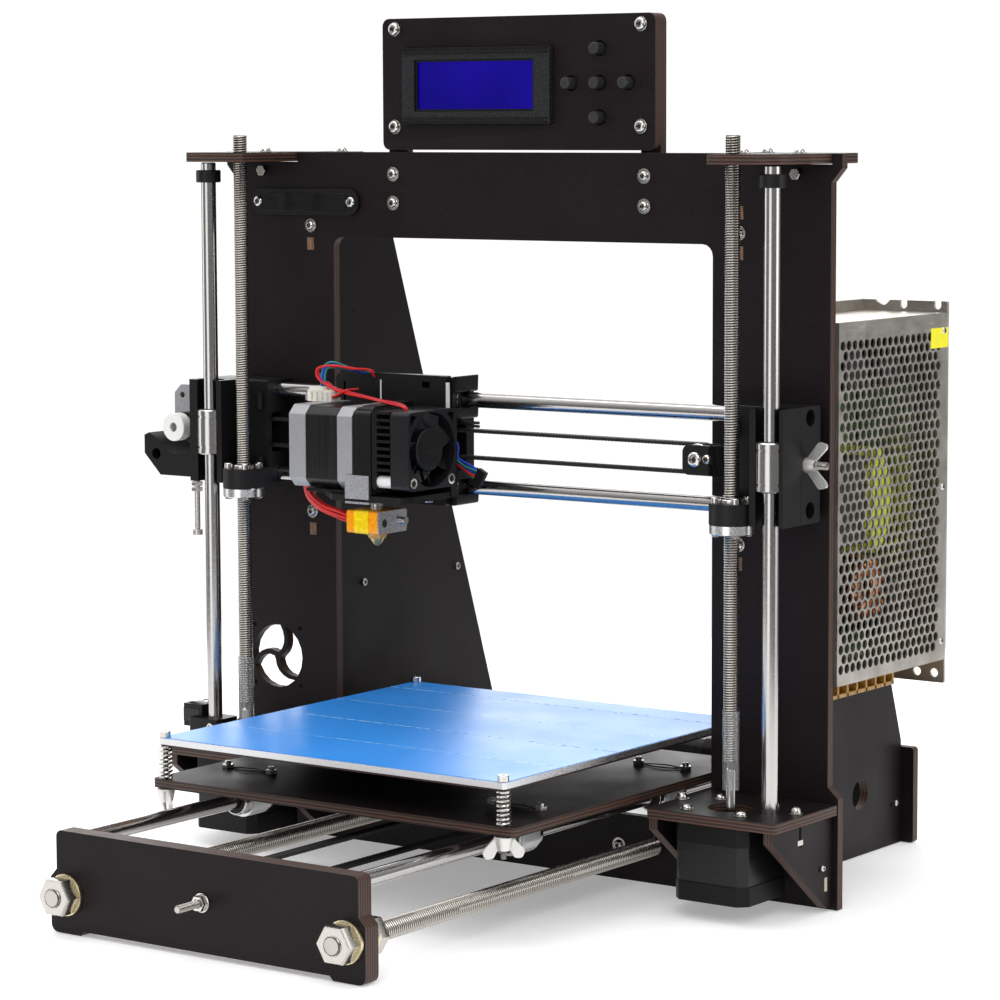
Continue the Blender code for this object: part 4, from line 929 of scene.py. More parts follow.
def motor_shelves():
    for side, name in HANDS:
        node_name = f"{name}_motor_shelf"
        top = span(node_name)[1].z
        flat, gusset = plywood(2), plywood(0)
        deck = top - PLY - 0.01

        def choose(face):
            return flat(face) if face.calc_center_median().z > deck else gusset(face)

        wood = Piece(f"{name}_shelf_wood", "frame", "plywood", (node_name,))
        wood.add(cad(node_name), choose).done(0.25)
        screws = Piece(f"{name}_shelf_screws", "frame", "zinc_steel")
        for u, v in DIAGONALS:
            spot = (side * (SCREW_X + u * MOTOR_SCREW), Z_Y + v * MOTOR_SCREW, top)
            button_head(screws, spot, (0, 0, 1), 2.6, 1.8, 3.2)
        for x in (187.5, 122.1):
            button_head(screws, (side * x, -31.0, top), (0, 0, 1), 2.6, 2.6, 3.6)
        face = side * 190.0

        def skin_deep(lift):
            return sorted((face - side * 0.3, face + side * lift))

        screws.add(box(skin_deep(0.05), (-32.2, -29.8), (36.5, 47.6)), slot_shadow())
        screws.add(box(skin_deep(0.25), (-33.4, -28.6), (37.6, 40.2)), zinc())
        screws.add(box(skin_deep(0.05), (-13.6, -7.6), (21.2, 23.8)), slot_shadow())
        button_head(screws, (face, -9.6, 22.5), (side, 0, 0), 1.7, 1.2)
        tab = plastic("raw_tab", (0.50, 0.44, 0.34), 0.6)
        screws.add(box(skin_deep(0.3), (-7.8, -5.4), (10.6, 17.4)), tab)
        screws.done(0.1)


# ---------------------------------------------------------------- motors

MOTOR_HALF = 21.15
MOTOR_SCREW = 15.5
MOTOR_LENGTH = 38.5
FRONT_CAP = 9.5


def motor_ring(half, chamfer):
    """The outline of a square motor with cut corners."""
    corner = half - chamfer
    points = []
    for u, v in ((1, 1), (-1, 1), (-1, -1), (1, -1)):
        pair = [(u * half, v * corner, 1.2), (u * corner, v * half, 1.2)]
        points += pair if u * v > 0 else pair[::-1]
    return rounded(points, 3)


def motor(piece, face, direction, length, shaft, rear_cap, caps, stack):
    """A square stepper built along +Z below z = 0, then carried to its face and direction."""
    place = facing(face, direction)
    core = motor_ring(MOTOR_HALF - 0.55, 4.0)
    cap = motor_ring(MOTOR_HALF, 4.6)
    pilot = [(11.0, -1.0), (11.0, 1.6), (10.6, 2.0), (5.0, 2.0), (4.6, 1.2)]
    piece.add(prism("XY", (-length + rear_cap, -FRONT_CAP), core), stack, place)
    piece.add(prism("XY", (-FRONT_CAP, 0.0), cap), caps, place)
    piece.add(prism("XY", (-length, -length + rear_cap), cap), caps, place)
    piece.add(lathe(pilot, sides=40), caps, place)
    piece.add(lathe([(2.5, 0.0), (2.5, shaft - 0.5), (2.1, shaft)], sides=24), ground_steel(2), place)
    for u, v in DIAGONALS:
        spot = place @ Vector((u * MOTOR_SCREW, v * MOTOR_SCREW, -length))
        cap_head(piece, spot, -Vector(direction), 2.5, 0.7, zinc())


def z_motors():
    for _, name in HANDS:
        low, high = span(f"{name}_z_motor")
        face = middle(f"{name}_z_motor")
        top = low.z + MOTOR_LENGTH
        piece = Piece(f"{name}_z_stepper", "frame", "motor", (f"{name}_z_motor",))
        motor(piece, (face.x, face.y, top), (0, 0, 1), MOTOR_LENGTH, high.z - top, 9.5,
              motor_black(), laminations(2))
        x = (face.x - 8.0, face.x + 8.0)
        piece.add(box(x, (face.y + 20.6, face.y + 26.5), (low.z + 1.0, low.z + 8.0)), connector_white())
        for i, colour in enumerate(("red", "blue", "green", "black")):
            px = face.x - 4.5 + 3.0 * i
            piece.add(rod((px, 0, low.z + 4.5), "Y", (face.y + 26.0, face.y + 28.0), 0.6, 10), wire(colour))
        piece.done(0.2, 40.0)


def couplings_and_screws():
    """Lead screws with real threads, and the clear tubes that join them to the motor shafts."""
    for _, name in HANDS:
        node_name = f"{name}_lead_screw"
        axis = middle(node_name)
        base = (axis.x, axis.y, 0.0)
        piece = Piece(f"{name}_threaded_screw", node_name, "zinc_steel", (node_name,))
        piece.screw_thread(base, "Z", (76.0, span(node_name)[1].z), 3.9, 1.25, 0.62, 26)
        shell = [(4.1, 62.0), (4.15, 100.4), (3.98, 101.0), (3.94, 77.0), (2.75, 74.8), (2.75, 62.0)]
        piece.add(lathe(shell, base, "Z", 36, True), clear_tube())
        piece.done()


def z_rods():
    for _, name in HANDS:
        low, high = span(f"{name}_z_rod")
        axis = middle(f"{name}_z_rod")
        base = (axis.x, axis.y, 0.0)
        piece = Piece(f"{name}_guide_rod", "frame", "ground_steel", (f"{name}_z_rod",))
        shaft = [(3.5, low.z), (4.0, low.z + 0.5), (4.0, high.z - 0.5), (3.5, high.z)]
        piece.add(lathe(shaft, base, "Z", 48), ground_steel(2))
        collar = [(4.1, 355.0), (6.2, 355.0), (6.6, 355.5), (6.6, 361.1), (6.2, 361.6), (4.1, 361.6)]
        piece.add(lathe(collar, base, "Z", 40, True), black_plastic())
        piece.done()
    low, high = span("z_endstop")
    piece = Piece("z_endstop_switch", "frame", "black_plastic", ("z_endstop",))
    bore = circle(middle("left_z_rod").x, middle("left_z_rod").y, 4.15, 28)
    clamp = rectangle((-187.0, -167.0), (-45.0, -27.0), 1.5)
    piece.add(prism("XY", (58.0, 66.0), clamp, [bore]), black_plastic())
    piece.add(box((-193.8, -181.0), (-41.0, -31.0), (60.2, 72.6)), black_plastic())
    piece.add(box((-193.9, -182.5), (-41.2, -40.6), (63.0, 70.0)), gloss_black())
    lever = [(-193.0, 72.7), (-193.0, 73.1), (-183.0, 74.9), (-182.6, 74.3)]
    piece.add(prism("XZ", (-38.0, -34.0), lever), nickel())
    cap_head(piece, (-171.0, -45.0, 62.0), (0, -1, 0), 2.2, 1.6)
    piece.done(0.3)


# ---------------------------------------------------------------- base and Y axis

def base_rods():
    for name in ("left_base_rod", "right_base_rod"):
        low, high = span(name)
        axis = middle(name)
        spot = Vector((axis.x, 0.0, axis.z))
        piece = Piece(f"{name}_threaded", "frame", "zinc_steel", (name,))
        piece.screw_thread(spot, "Y", (low.y + 0.5, high.y), 4.9, 1.5, 0.75, 28)
        for face, way in (
            (FRONT_FACE_Y, -1), (FRONT_FACE_Y + 2 * PLY, 1), (REAR_FACE_Y - PLY, -1), (REAR_FACE_Y, 1),
        ):
            point = spot + Vector((0, face + way * 0.15, 0))
            washer(piece, point, (0, way, 0), 5.2, 10.2, 1.9, yellow_zinc())
            nut(piece, point + Vector((0, way * 1.9, 0)), (0, way, 0), 17.0, 8.2, 4.6, zinc())
        piece.done(0.15, 50.0)


def y_rods():
    for name in ("left_y_rod", "right_y_rod"):
        low, high = span(name)
        axis = middle(name)
        piece = Piece(f"{name}_guide", "frame", "ground_steel", (name,))
        piece.add(rod((axis.x, 0, axis.z), "Y", (low.y, high.y), 4.0, 48), ground_steel(1))
        piece.done()


BELT_INNER = 6.6
BELT_BACK = 7.8
TOOTH_PITCH = 2.0


def toothed_belt(piece, plane, ends, start, end, height):
    """A closed belt round two wheels: a smooth back and square teeth inside."""
    arc = 20
    back = []
    for centre, first in ((end, -90.0), (start, 90.0)):
        for step in range(arc + 1):
            angle = math.radians(first + 180.0 * step / arc)
            back.append((centre + BELT_BACK * math.cos(angle), height + BELT_BACK * math.sin(angle)))
    straight = end - start
    bend = math.pi * BELT_INNER
    total = 2.0 * (straight + bend)
    teeth = round(total / TOOTH_PITCH)
    inside = []
    for tooth in range(teeth):
        for share, depth in ((0.0, 0.0), (0.38, 0.0), (0.5, 0.62), (0.88, 0.62)):
            s = (tooth + share) / teeth * total
            r = BELT_INNER - depth + 0.1
            if s < straight:
                inside.append((start + s, height - r))
            elif s < straight + bend:
                a = -math.pi / 2 + (s - straight) / BELT_INNER
                inside.append((end + r * math.cos(a), height + r * math.sin(a)))
            elif s < 2 * straight + bend:
                inside.append((end - (s - straight - bend), height + r))
            else:
                a = math.pi / 2 + (s - 2 * straight - bend) / BELT_INNER
                inside.append((start + r * math.cos(a), height + r * math.sin(a)))
    piece.add(prism(plane, ends, back, [inside]), rubber())


def wheel(piece, centre, axis, hub_to, bore, material, teeth=20):
    """A belt wheel with flanges, and teeth between them where it drives."""
    flange, groove, half, rim = 7.6, 6.0, 3.3, 4.2
    profile = [
        (bore, rim), (flange - 0.3, rim), (flange, rim - 0.3), (flange, half + 0.2), (groove, half),
        (groove, -half), (flange, -half - 0.2), (flange, hub_to + 0.3), (flange - 0.3, hub_to),
        (bore, hub_to),
    ]
    piece.add(lathe(profile, centre, axis, 44, True), material)
    hub = Vector(centre)
    along = hub["XYZ".index(axis)]
    for spot in hoop(hub, axis, 6.02, teeth) if teeth else ():
        piece.add(rod(spot, axis, (along - half, along + half), 0.42, 6), material)


def y_drive():
    axis = middle("y_pulley")
    piece = Piece("y_stepper", "frame", "motor", ("y_motor",))
    motor(piece, (9.0, axis.y, axis.z), (-1, 0, 0), 40.0, 15.0, 9.5, motor_black(), laminations(0))
    hole = circle(axis.y, axis.z, 11.4, 40)
    plate = rectangle((axis.y - 21.0, REAR_FACE_Y - PLY - 0.3), (10.6, 52.0), 2.0)
    piece.add(prism("YZ", (6.0, 8.8), plate, [hole]), black_plastic())
    foot = rectangle((-18.0, 8.6), (10.6, 52.0), 2.0)
    piece.add(prism("XZ", (REAR_FACE_Y - PLY - 3.3, REAR_FACE_Y - PLY - 0.3), foot), black_plastic())
    for u, v in DIAGONALS:
        spot = (6.0, axis.y + u * MOTOR_SCREW, axis.z + v * MOTOR_SCREW)
        cap_head(piece, spot, (-1, 0, 0), 2.6, 1.4)
    piece.add(box((44.0, 48.6), (axis.y - 8.0, axis.y + 8.0), (52.2, 52.6)), connector_white())
    piece.done(0.2, 40.0)

    piece = Piece("y_drive_wheel", "y_pulley", "aluminium_wheel", ("y_pulley",))
    wheel(piece, axis, "X", -4.2, 2.8, turned_aluminium())
    piece.done()
    idle = middle("y_idler")
    piece = Piece("y_idler_wheel", "y_idler", "aluminium_wheel", ("y_idler",))
    wheel(piece, idle, "X", -4.2, 2.2, turned_aluminium(), 0)
    piece.done()

    low, high = span("y_idler_bracket")
    piece = Piece("y_tensioner", "frame", "black_plastic", ("y_idler_bracket",))
    draw_z = 26.3
    z = (draw_z - 4.0, axis.z + 6.0)
    for x in ((-9.0, -5.2), (5.2, 9.0)):
        piece.add(box(x, (-241.5, high.y), z), black_plastic())
    piece.add(box((-9.0, 9.0), (-241.5, -234.5), z), black_plastic())
    piece.add(rod((0, idle.y, idle.z), "X", (-8.0, 8.0), 1.9, 20), nickel())
    for way in (-1, 1):
        cap_head(piece, (way * 8.9, idle.y, idle.z), (way, 0, 0), 2.7, 1.0)
    piece.screw_thread((0, 0, draw_z), "Y", (low.y, -239.0), 1.95, 0.7, 0.3, 16)
    washer(piece, (0, FRONT_FACE_Y - 0.1, draw_z), (0, -1, 0), 2.2, 4.6, 0.9, nickel())
    nut(piece, (0, FRONT_FACE_Y - 1.0, draw_z), (0, -1, 0), 7.0, 3.0, 2.0, nickel())
    piece.done(0.2)
    piece = Piece("y_toothed_belt", "frame", "belt", ("y_belt",))
    toothed_belt(piece, "YZ", (-3.0, 3.0), idle.y, axis.y, axis.z)
    piece.done()


# ---------------------------------------------------------------- bed

BED_HALF = 107.0
BED_SCREW = 104.5
BED_CORNERS = ((-1, -1), (1, -1), (-1, 1), (1, 1))


def bearing(piece, centre, axis, length=24.0, radius=7.5):
    """A linear ball bearing: ground sleeve, two clip grooves and dark end seals."""
    half = length / 2.0
    groove = half - 3.2
    profile = [
        (radius - 0.6, -half), (radius, -half + 0.6), (radius, -groove), (radius - 0.4, -groove),
        (radius - 0.4, -groove + 1.1), (radius, -groove + 1.1), (radius, groove - 1.1),
        (radius - 0.4, groove - 1.1), (radius - 0.4, groove), (radius, groove), (radius, half - 0.6),
        (radius - 0.6, half), (4.25, half), (4.25, -half),
    ]
    k = "XYZ".index(axis)
    piece.add(lathe(profile, centre, axis, 44, True), ground_steel(k))
    for way in (-1, 1):
        seal = [(4.2, way * (half - 0.2)), (radius - 0.9, way * (half - 0.2)),
                (radius - 0.9, way * (half + 0.12)), (4.2, way * (half + 0.12))]
        piece.add(lathe(seal, centre, axis, 36, True), rubber())


def bed_carriage():
    low, high = span("bed_carriage")
    bed = middle("heated_bed")
    top = high.z
    floor = top - 4.5
    piece = Piece("bed_carriage_wood", "bed_slider", "plywood", ("bed_carriage",))
    holes = [circle(sx * BED_SCREW, bed.y + sy * BED_SCREW, 1.9, 16) for sx, sy in BED_CORNERS]
    outline = rectangle((low.x, high.x), (bed.y - 106.5, bed.y + 106.5), 3.0)
    piece.add(prism("XY", (floor, top), outline, holes), plywood(2))
    piece.done(0.25)
    piece = Piece("bed_bearings", "bed_slider", "ground_steel")
    belly = [math.radians(-10.0 - 16.0 * i) for i in range(11)]
    clamp = rounded([
        (-10.5, 9.0, 1.0), (10.5, 9.0, 1.0), (10.5, 5.4, 0.8), (9.0, 5.0, 0.5),
        *[(9.0 * math.cos(a), 9.0 * math.sin(a), 0.0) for a in belly],
        (-9.0, 5.0, 0.5), (-10.5, 5.4, 0.8),
    ])
    clamp_metal = metal("clamp_aluminium", (0.66, 0.66, 0.67), 0.34)
    for side, way in DIAGONALS:
        centre = Vector((side * 83.5, bed.y + way * 64.0, 45.0))
        x, y, _ = centre
        bearing(piece, centre, "Y")
        holder = prism("XZ", (-7.0, 7.0), clamp, [circle(0.0, 0.0, 7.55, 36)])
        piece.add(holder, clamp_metal, Matrix.Translation(centre))
        for u in (-1, 1):
            screw_x = x + u * 14.3
            nut(piece, (screw_x, y, top), (0, 0, 1), 5.5, 2.2)
            cap_head(piece, (screw_x, y, top + 2.2), (0, 0, 1), 1.6, 1.8)
            nut(piece, (screw_x, y, floor), (0, 0, -1), 5.5, 2.4)
        for v in (-1, 1):
            tie = [(x - 13.0, y, top + 0.6), (x, y + v * 3.4, top + 0.7), (x + 13.0, y, top + 0.6)]
            piece.add(sweep(smooth_path(tie), 0.35, 6), rubber())
    piece.add(box((-8.0, 8.0), (bed.y - 9.0, bed.y + 9.0), (40.2, floor)), black_plastic())
    for v in (-6.0, 6.0):
        button_head(piece, (0.0, bed.y + v, top), (0, 0, 1), 2.4, 1.6)
    piece.done(0.2)


def bed_plate():
    low, high = span("heated_bed")
    bed = middle("heated_bed")
    top = high.z - 1.8
    y = (bed.y - BED_HALF, bed.y + BED_HALF)
    heater = plastic("heater_board", (0.030, 0.010, 0.009), 0.4)
    piece = Piece("bed_aluminium", "bed_plate", "blue_tape", ("heated_bed",))
    sheet = rectangle((-BED_HALF, BED_HALF), y, 1.6)
    piece.add(prism("XY", (top - 3.5, top - 0.35), sheet), milled_aluminium())
    board = rectangle((-BED_HALF + 0.8, BED_HALF - 0.8), (y[0] + 0.8, y[1] - 0.8), 1.5)
    piece.add(prism("XY", (top - 4.6, top - 3.6), board), heater)
    for sx, sy in BED_CORNERS:
        u, v = sx * BED_SCREW, bed.y + sy * BED_SCREW
        piece.screw_thread((u, v, 0), "Z", (low.z, top + 0.2), 1.5, 0.5, 0.22, 14)
        cap_head(piece, (u, v, top), (0, 0, 1), 2.75, 3.0)
        washer(piece, (u, v, top - 4.9), (0, 0, -1), 1.7, 3.3, 0.6, nickel())
    piece.done(0.2)
    random.seed(7)
    width = 47.8
    steps = 30
    reach = BED_HALF - 0.6
    piece = Piece("bed_tape", "bed_plate", "blue_tape")
    pale = plastic("tape_gap", (0.62, 0.80, 0.86), 0.4)
    for i in range(5):
        inner = y[0] + 0.5 + i * width
        outer = min(inner + width, y[1] - 0.5)
        ragged = []
        for edge, way in ((inner, 1.0), (outer, -1.0)):
            for k in range(steps + 1):
                x = way * reach * (2.0 * k / steps - 1.0)
                ragged.append((x, edge + way * (0.12 + 0.42 * random.random() ** 2)))
        strip = prism("XY", (top - 0.35, top - 0.08 - 0.05 * (i % 2)), ragged)
        piece.add(strip, blue_tape())
        x = -reach
        while i and x < reach - 9.0:
            length = random.uniform(2.0, 9.0)
            seam = inner + random.uniform(-0.12, 0.12)
            piece.add(box((x, x + length), (seam - 0.17, seam + 0.17), (top - 0.34, top - 0.06)), pale)
            x += length + random.uniform(0.3, 4.0)
    piece.done()


SPRING_TURNS = 8.5
WING_SPIN = {"front_left": 36.0, "front_right": -50.0, "rear_left": -20.0, "rear_right": 35.0}


def springs():
    """Coil springs whose end turns lie almost flat, and the wing nuts under the plate."""
    for name, spin in WING_SPIN.items():
        low, high = span(f"{name}_spring")
        axis = middle(f"{name}_spring")
        steps = 18
        dead = 0.09
        path = []
        for i in range(int(SPRING_TURNS * steps) + 1):
            t = i / (SPRING_TURNS * steps)
            rise = min(max((t - dead) / (1.0 - 2.0 * dead), 0.0), 1.0)
            first, last = min(t / dead, 1.0), max((t - 1.0 + dead) / dead, 0.0)
            rise = 0.055 + 0.89 * rise + (0.045 * first - 0.045) + 0.045 * last
            angle = ROUND * i / steps
            path.append((axis.x + 3.05 * math.cos(angle), axis.y + 3.05 * math.sin(angle),
                         low.z + 0.3 + (high.z - low.z - 0.6) * rise))
        piece = Piece(f"{name}_coil", "bed_slider", "zinc_steel", (f"{name}_spring",))
        piece.add(sweep(path, 0.6, 10), nickel())
        piece.done()
        centre = middle(f"{name}_wing_nut")
        top = span(f"{name}_wing_nut")[1].z
        piece = Piece(f"{name}_wings", f"{name}_wing_nut", "zinc_steel", (f"{name}_wing_nut",))
        wing_nut(piece, (centre.x, centre.y, top), (0, 0, -1), spin, 1.06)
        piece.done(0.35)


# ---------------------------------------------------------------- X gantry


def holder_outline(side):
    """The bearing holder seen from above: a block with a round bore open at the front."""
    arc = 22
    bore = 7.62
    mouth = 6.6
    front = -39.8
    outer = X_OUTER if side > 0 else LEFT_OUTER
    gap = math.degrees(math.asin(mouth / bore))
    first, last = -90.0 + gap, 270.0 - gap
    points = [(164.6, -25.5), (outer, -25.5), (outer, front), (GUIDE_X + mouth, front)]
    for i in range(arc + 1):
        angle = math.radians(first + (last - first) * i / arc)
        points.append((GUIDE_X + bore * math.cos(angle), Z_Y + bore * math.sin(angle)))
    points += [(GUIDE_X - mouth, front), (165.6, front)]
    return [(side * u, v) for u, v in points]


def x_end_body(piece, side):
    bottom, top = (192.5 if side > 0 else 194.5), 249.5
    outer = X_OUTER if side > 0 else LEFT_OUTER

    def mirror(a, b):
        return tuple(sorted((side * a, side * b)))

    belt_window = rectangle((BELT_Y - 4.2, BELT_Y + 4.2), (BELT_Z - 10.5, BELT_Z + 10.5), 1.0)
    bores = [circle(ROD_Y, z, 4.2, 28) for z in ROD_ZS]
    profile = rectangle((-25.5, -4.6), (bottom, top), 1.0)
    holes = [*bores, belt_window] if side < 0 else bores
    piece.add(prism("YZ", mirror(X_INNER, outer), profile, holes), black_plastic())
    piece.add(prism("XY", (bottom, top), holder_outline(side)), black_plastic())
    for z in (bottom + 5.0, top - 15.0):
        rib = rounded([
            (side * 147.5, -25.6, 0.0), (side * 150.5, -25.6, 0.0),
            (side * 150.5, -29.4, 0.5), (side * 147.5, -29.4, 0.5),
        ])
        piece.add(prism("XY", (z, z + 9.0), rib), black_plastic())
    lug = [(144.0, -25.0), (144.0, -30.0)]
    for i in range(21):
        angle = math.radians(212.0 + 148.0 * i / 20)
        lug.append((SCREW_X + 11.2 * math.cos(angle), Z_Y + 11.2 * math.sin(angle)))
    lug = [(side * u, v) for u, v in [*lug, (165.0, -25.0)]]
    screw_hole = circle(side * SCREW_X, Z_Y, 4.9, 28)
    piece.add(prism("XY", (192.6, 202.9), lug, [screw_hole]), black_plastic())
    bearing(piece, Vector((side * GUIDE_X, Z_Y, BELT_Z)), "Z")
    axis = (side * SCREW_X, Z_Y, 0)
    flange = [(4.7, 187.7), (10.6, 187.7), (11.0, 188.1), (11.0, 192.3), (10.6, 192.7), (4.7, 192.7)]
    piece.add(lathe(flange, axis, "Z", 48, True), turned_aluminium())
    collar = [(4.6, 202.5), (5.7, 202.5), (5.7, 204.4), (5.4, 204.8), (4.6, 204.8)]
    piece.add(lathe(collar, axis, "Z", 36, True), turned_aluminium())
    for i in range(4):
        angle = math.radians(45.0 + 90.0 * i)
        spot = Vector((side * SCREW_X + 8.1 * math.cos(angle), Z_Y + 8.1 * math.sin(angle), 0.0))
        cap_head(piece, spot + Vector((0, 0, 202.9)), (0, 0, 1), 2.3, 2.9)
        nut(piece, spot + Vector((0, 0, 187.8)), (0, 0, -1), 3.6, 1.3)


def left_x_end():
    piece = Piece("left_x_carrier", "x_gantry", "black_plastic", ("left_x_end",))
    x_end_body(piece, -1)
    low = span("left_x_end")[0]
    motor_x = middle("x_motor").x
    root = -X_OUTER + 1.0
    saddle = []
    for i in range(15):
        angle = math.radians(-8.0 - (180.0 - 38.0) * i / 14)
        saddle.append((motor_x + 15.2 * math.cos(angle), BELT_Z + 15.2 * math.sin(angle)))
    arm = [(low.x, 216.0), (low.x, 206.0), (-222.6, 194.5), (root, 194.5), (root, 219.4)]
    saddle = [p for p in saddle if low.x + 3.0 < p[0] < root and p[1] < 217.0]
    outline = arm + saddle + [(low.x + 3.2, 217.4)]
    hole = circle(motor_x - MOTOR_SCREW, BELT_Z - MOTOR_SCREW, 3.1, 20)
    piece.add(prism("XZ", (-24.5, -2.3), outline, [hole]), black_plastic())
    upper = [(root, 226.5), (root, 247.0), (-196.0, 247.0), (-201.0, 238.0), (-196.0, 233.0)]
    piece.add(prism("XZ", (-12.0, -2.3), rounded([(u, v, 1.5) for u, v in upper])), black_plastic())
    cap_head(piece, (motor_x + MOTOR_SCREW, -12.0, BELT_Z + MOTOR_SCREW), (0, -1, 0), 2.7, 2.6)
    screw_x = -184.8
    piece.add(rod((screw_x, -37.8, 0), "Z", (168.0, 196.0), 1.45, 16), zinc())
    piece.add(lathe([(2.6, 165.2), (2.6, 168.2)], (screw_x, -37.8, 0), "Z", 24), zinc())
    for z in (188.8, 191.8):
        nut(piece, (screw_x, -37.8, z), (0, 0, 1), 5.5, 2.2)
    piece.done(0.3)


def right_x_end():
    piece = Piece("right_x_carrier", "x_gantry", "black_plastic", ("right_x_end",))
    x_end_body(piece, 1)
    idle = middle("x_idler")
    fork = rounded([
        (117.7, 213.7, 3.5), (146.0, 213.7, 0.0), (146.0, 228.5, 0.0), (117.7, 228.5, 3.5),
    ])
    for y in ((-24.6, -22.5), (-13.5, -11.4)):
        piece.add(prism("XZ", y, fork), black_plastic())
    piece.add(box((133.0, 146.0), (-24.6, -11.4), (213.7, 228.5)), black_plastic())
    piece.add(rod((idle.x, 0, idle.z), "Y", (-25.6, -10.4), 1.9, 20), nickel())
    button_head(piece, (idle.x, -24.6, idle.z), (0, -1, 0), 4.0, 2.1)
    nut(piece, (idle.x, -11.4, idle.z), (0, 1, 0), 7.0, 3.0)
    button_head(piece, (132.2, -24.6, idle.z + 0.4), (0, -1, 0), 2.6, 1.8)
    seam = box((X_OUTER - 0.2, X_OUTER + 0.04), (-23.2, -22.8), (192.8, 249.2))
    piece.add(seam, gloss_black())
    tension = (0, BELT_Y, BELT_Z)
    piece.screw_thread(tension, "X", (X_OUTER - 1.0, X_OUTER + 12.0), 1.95, 0.7, 0.3, 16)
    wing_nut(piece, (X_OUTER + 0.1, BELT_Y, BELT_Z), (1, 0, 0), 90.0, 0.86, 12.0, 14.0, 2.7)
    piece.done(0.3)


def x_rods():
    for name in ("upper_x_rod", "lower_x_rod"):
        low, high = span(name)
        axis = middle(name)
        piece = Piece(f"{name}_guide", "x_gantry", "ground_steel", (name,))
        start, end = low.x + 7.0, high.x - 7.0
        shaft = [(3.5, start), (4.0, start + 0.5), (4.0, end - 0.5), (3.5, end)]
        piece.add(lathe(shaft, (0, axis.y, axis.z), "X", 48), ground_steel(0))
        piece.done()


def x_drive():
    axis = middle("x_pulley")
    low, high = span("x_motor")
    face = high.y - MOTOR_LENGTH
    x, _, z = middle("x_motor")
    piece = Piece("x_stepper", "x_gantry", "motor", ("x_motor",))
    motor(piece, (x, face, z), (0, -1, 0), MOTOR_LENGTH, face - low.y, 10.0,
          cast_aluminium(), laminations(1))
    for u in (-1, 1):
        spot = (x + u * MOTOR_SCREW, face, z + MOTOR_SCREW)
        cap_head(piece, spot, (0, -1, 0), 1.6, 0.3, gloss_black())
    socket = box((x - 8.0, x + 8.0), (high.y - 8.0, high.y - 1.0), (z - 27.0, z - 20.8))
    piece.add(socket, connector_white())
    piece.done(0.2, 40.0)
    piece = Piece("x_drive_wheel", "x_pulley", "white_plastic", ("x_pulley",))
    wheel(piece, axis - Vector((0, axis.y - BELT_Y, 0)), "Y", -10.0, 2.6, white_plastic())
    piece.done()
    idle = middle("x_idler")
    piece = Piece("x_idler_wheel", "x_idler", "aluminium_wheel", ("x_idler",))
    wheel(piece, idle, "Y", -4.2, 2.2, turned_aluminium(), 0)
    piece.done()
    piece = Piece("x_toothed_belt", "x_gantry", "belt", ("x_belt",))
    toothed_belt(piece, "XZ", (BELT_Y - 3.0, BELT_Y + 3.0), x, idle.x, BELT_Z)
    piece.done()


# ---------------------------------------------------------------- carriage and extruder

EXTRUDER_Y = -54.85
EXTRUDER_Z = 221.5
FAN_Y = -56.0
FAN_Z = 221.6
FAN_SCREW = 16.0
NOZZLE = (-43.5, -62.0)


def x_carriage():
    piece = Piece("x_carriage_body", "carriage", "black_plastic", ("x_carriage",))
    bores = [circle(ROD_Y, z, 7.55, 36) for z in ROD_ZS]
    channel = rectangle((BELT_Y - 4.5, BELT_Y + 4.5), (211.5, 231.5), 1.0)
    back = rectangle((-25.6, -7.0), (190.0, 255.0), 1.5)
    piece.add(prism("YZ", (-94.0, -22.0), back, [*bores, channel]), black_plastic())
    face = rounded([
        (-94.0, 190.0, 2.0), (-31.0, 190.0, 0.0), (-22.6, 190.0, 1.0), (-22.6, 257.0, 1.0),
        (-38.0, 257.0, 0.0), (-66.0, 257.0, 0.0), (-94.0, 255.6, 2.0),
    ])
    slots = [
        rectangle((-65.3, -63.9), (239.5, 254.0), 0.5),
        rectangle((-37.6, -32.6), (250.5, 253.6), 0.3),
        rectangle((-89.0, -87.6), (239.5, 252.0), 0.5),
    ]
    piece.add(prism("XZ", (-31.0, -25.8), face, slots), black_plastic())
    # White strips in the face's slot and at its edge: painted light, standing for light shining through the
    # gaps.
    for x in ((-65.2, -64.0), (-22.9, -21.7)):
        piece.add(box(x, (-30.6, -28.4), (239.8, 253.6)), white_plastic())
    for low, high in ((247.6, 257.0), (233.8, 240.6), (189.4, 195.6), (202.4, 208.6)):
        lump = rounded([
            (-26.0, low, 0.0), (-18.9, low + 0.6, 1.2), (-18.5, high, 0.8),
            (-22.4, high - 1.2, 0.8), (-26.0, high - 1.6, 0.0),
        ])
        piece.add(prism("XZ", (-26.4, -7.6), lump), black_plastic())
    for x in (-81.5, -34.5):
        for z in ROD_ZS:
            bearing(piece, Vector((x, ROD_Y, z)), "X")
    ledge = rounded([
        (-79.0, -60.0, 2.0), (-62.0, -76.0, 2.0), (-18.0, -76.0, 3.0), (-16.0, -68.0, 2.0),
        (-16.0, -29.0, 0.0), (-79.0, -29.0, 0.0),
    ])
    throat = circle(*NOZZLE, 4.3, 28)
    piece.add(prism("XY", (195.0, 198.2), ledge, [throat]), black_plastic())
    cheek = rectangle((-36.0, -30.8), (195.2, 241.0), 1.6)
    piece.add(prism("YZ", (-22.4, -15.4), cheek), black_plastic())
    for x in (-70.0, -26.0):
        cap_head(piece, (x, -42.0, 195.0), (0, 0, -1), 2.6, 2.2)
    for u, v in DIAGONALS:
        cap_head(piece, (-44.0 + u * 14.0, -7.0, 221.5 + v * 15.5), (0, 1, 0), 2.6, 1.4)
    piece.add(box((-70.0, -46.0), (-7.2, -3.8), (214.0, 229.0)), black_plastic())
    piece.done(0.35)


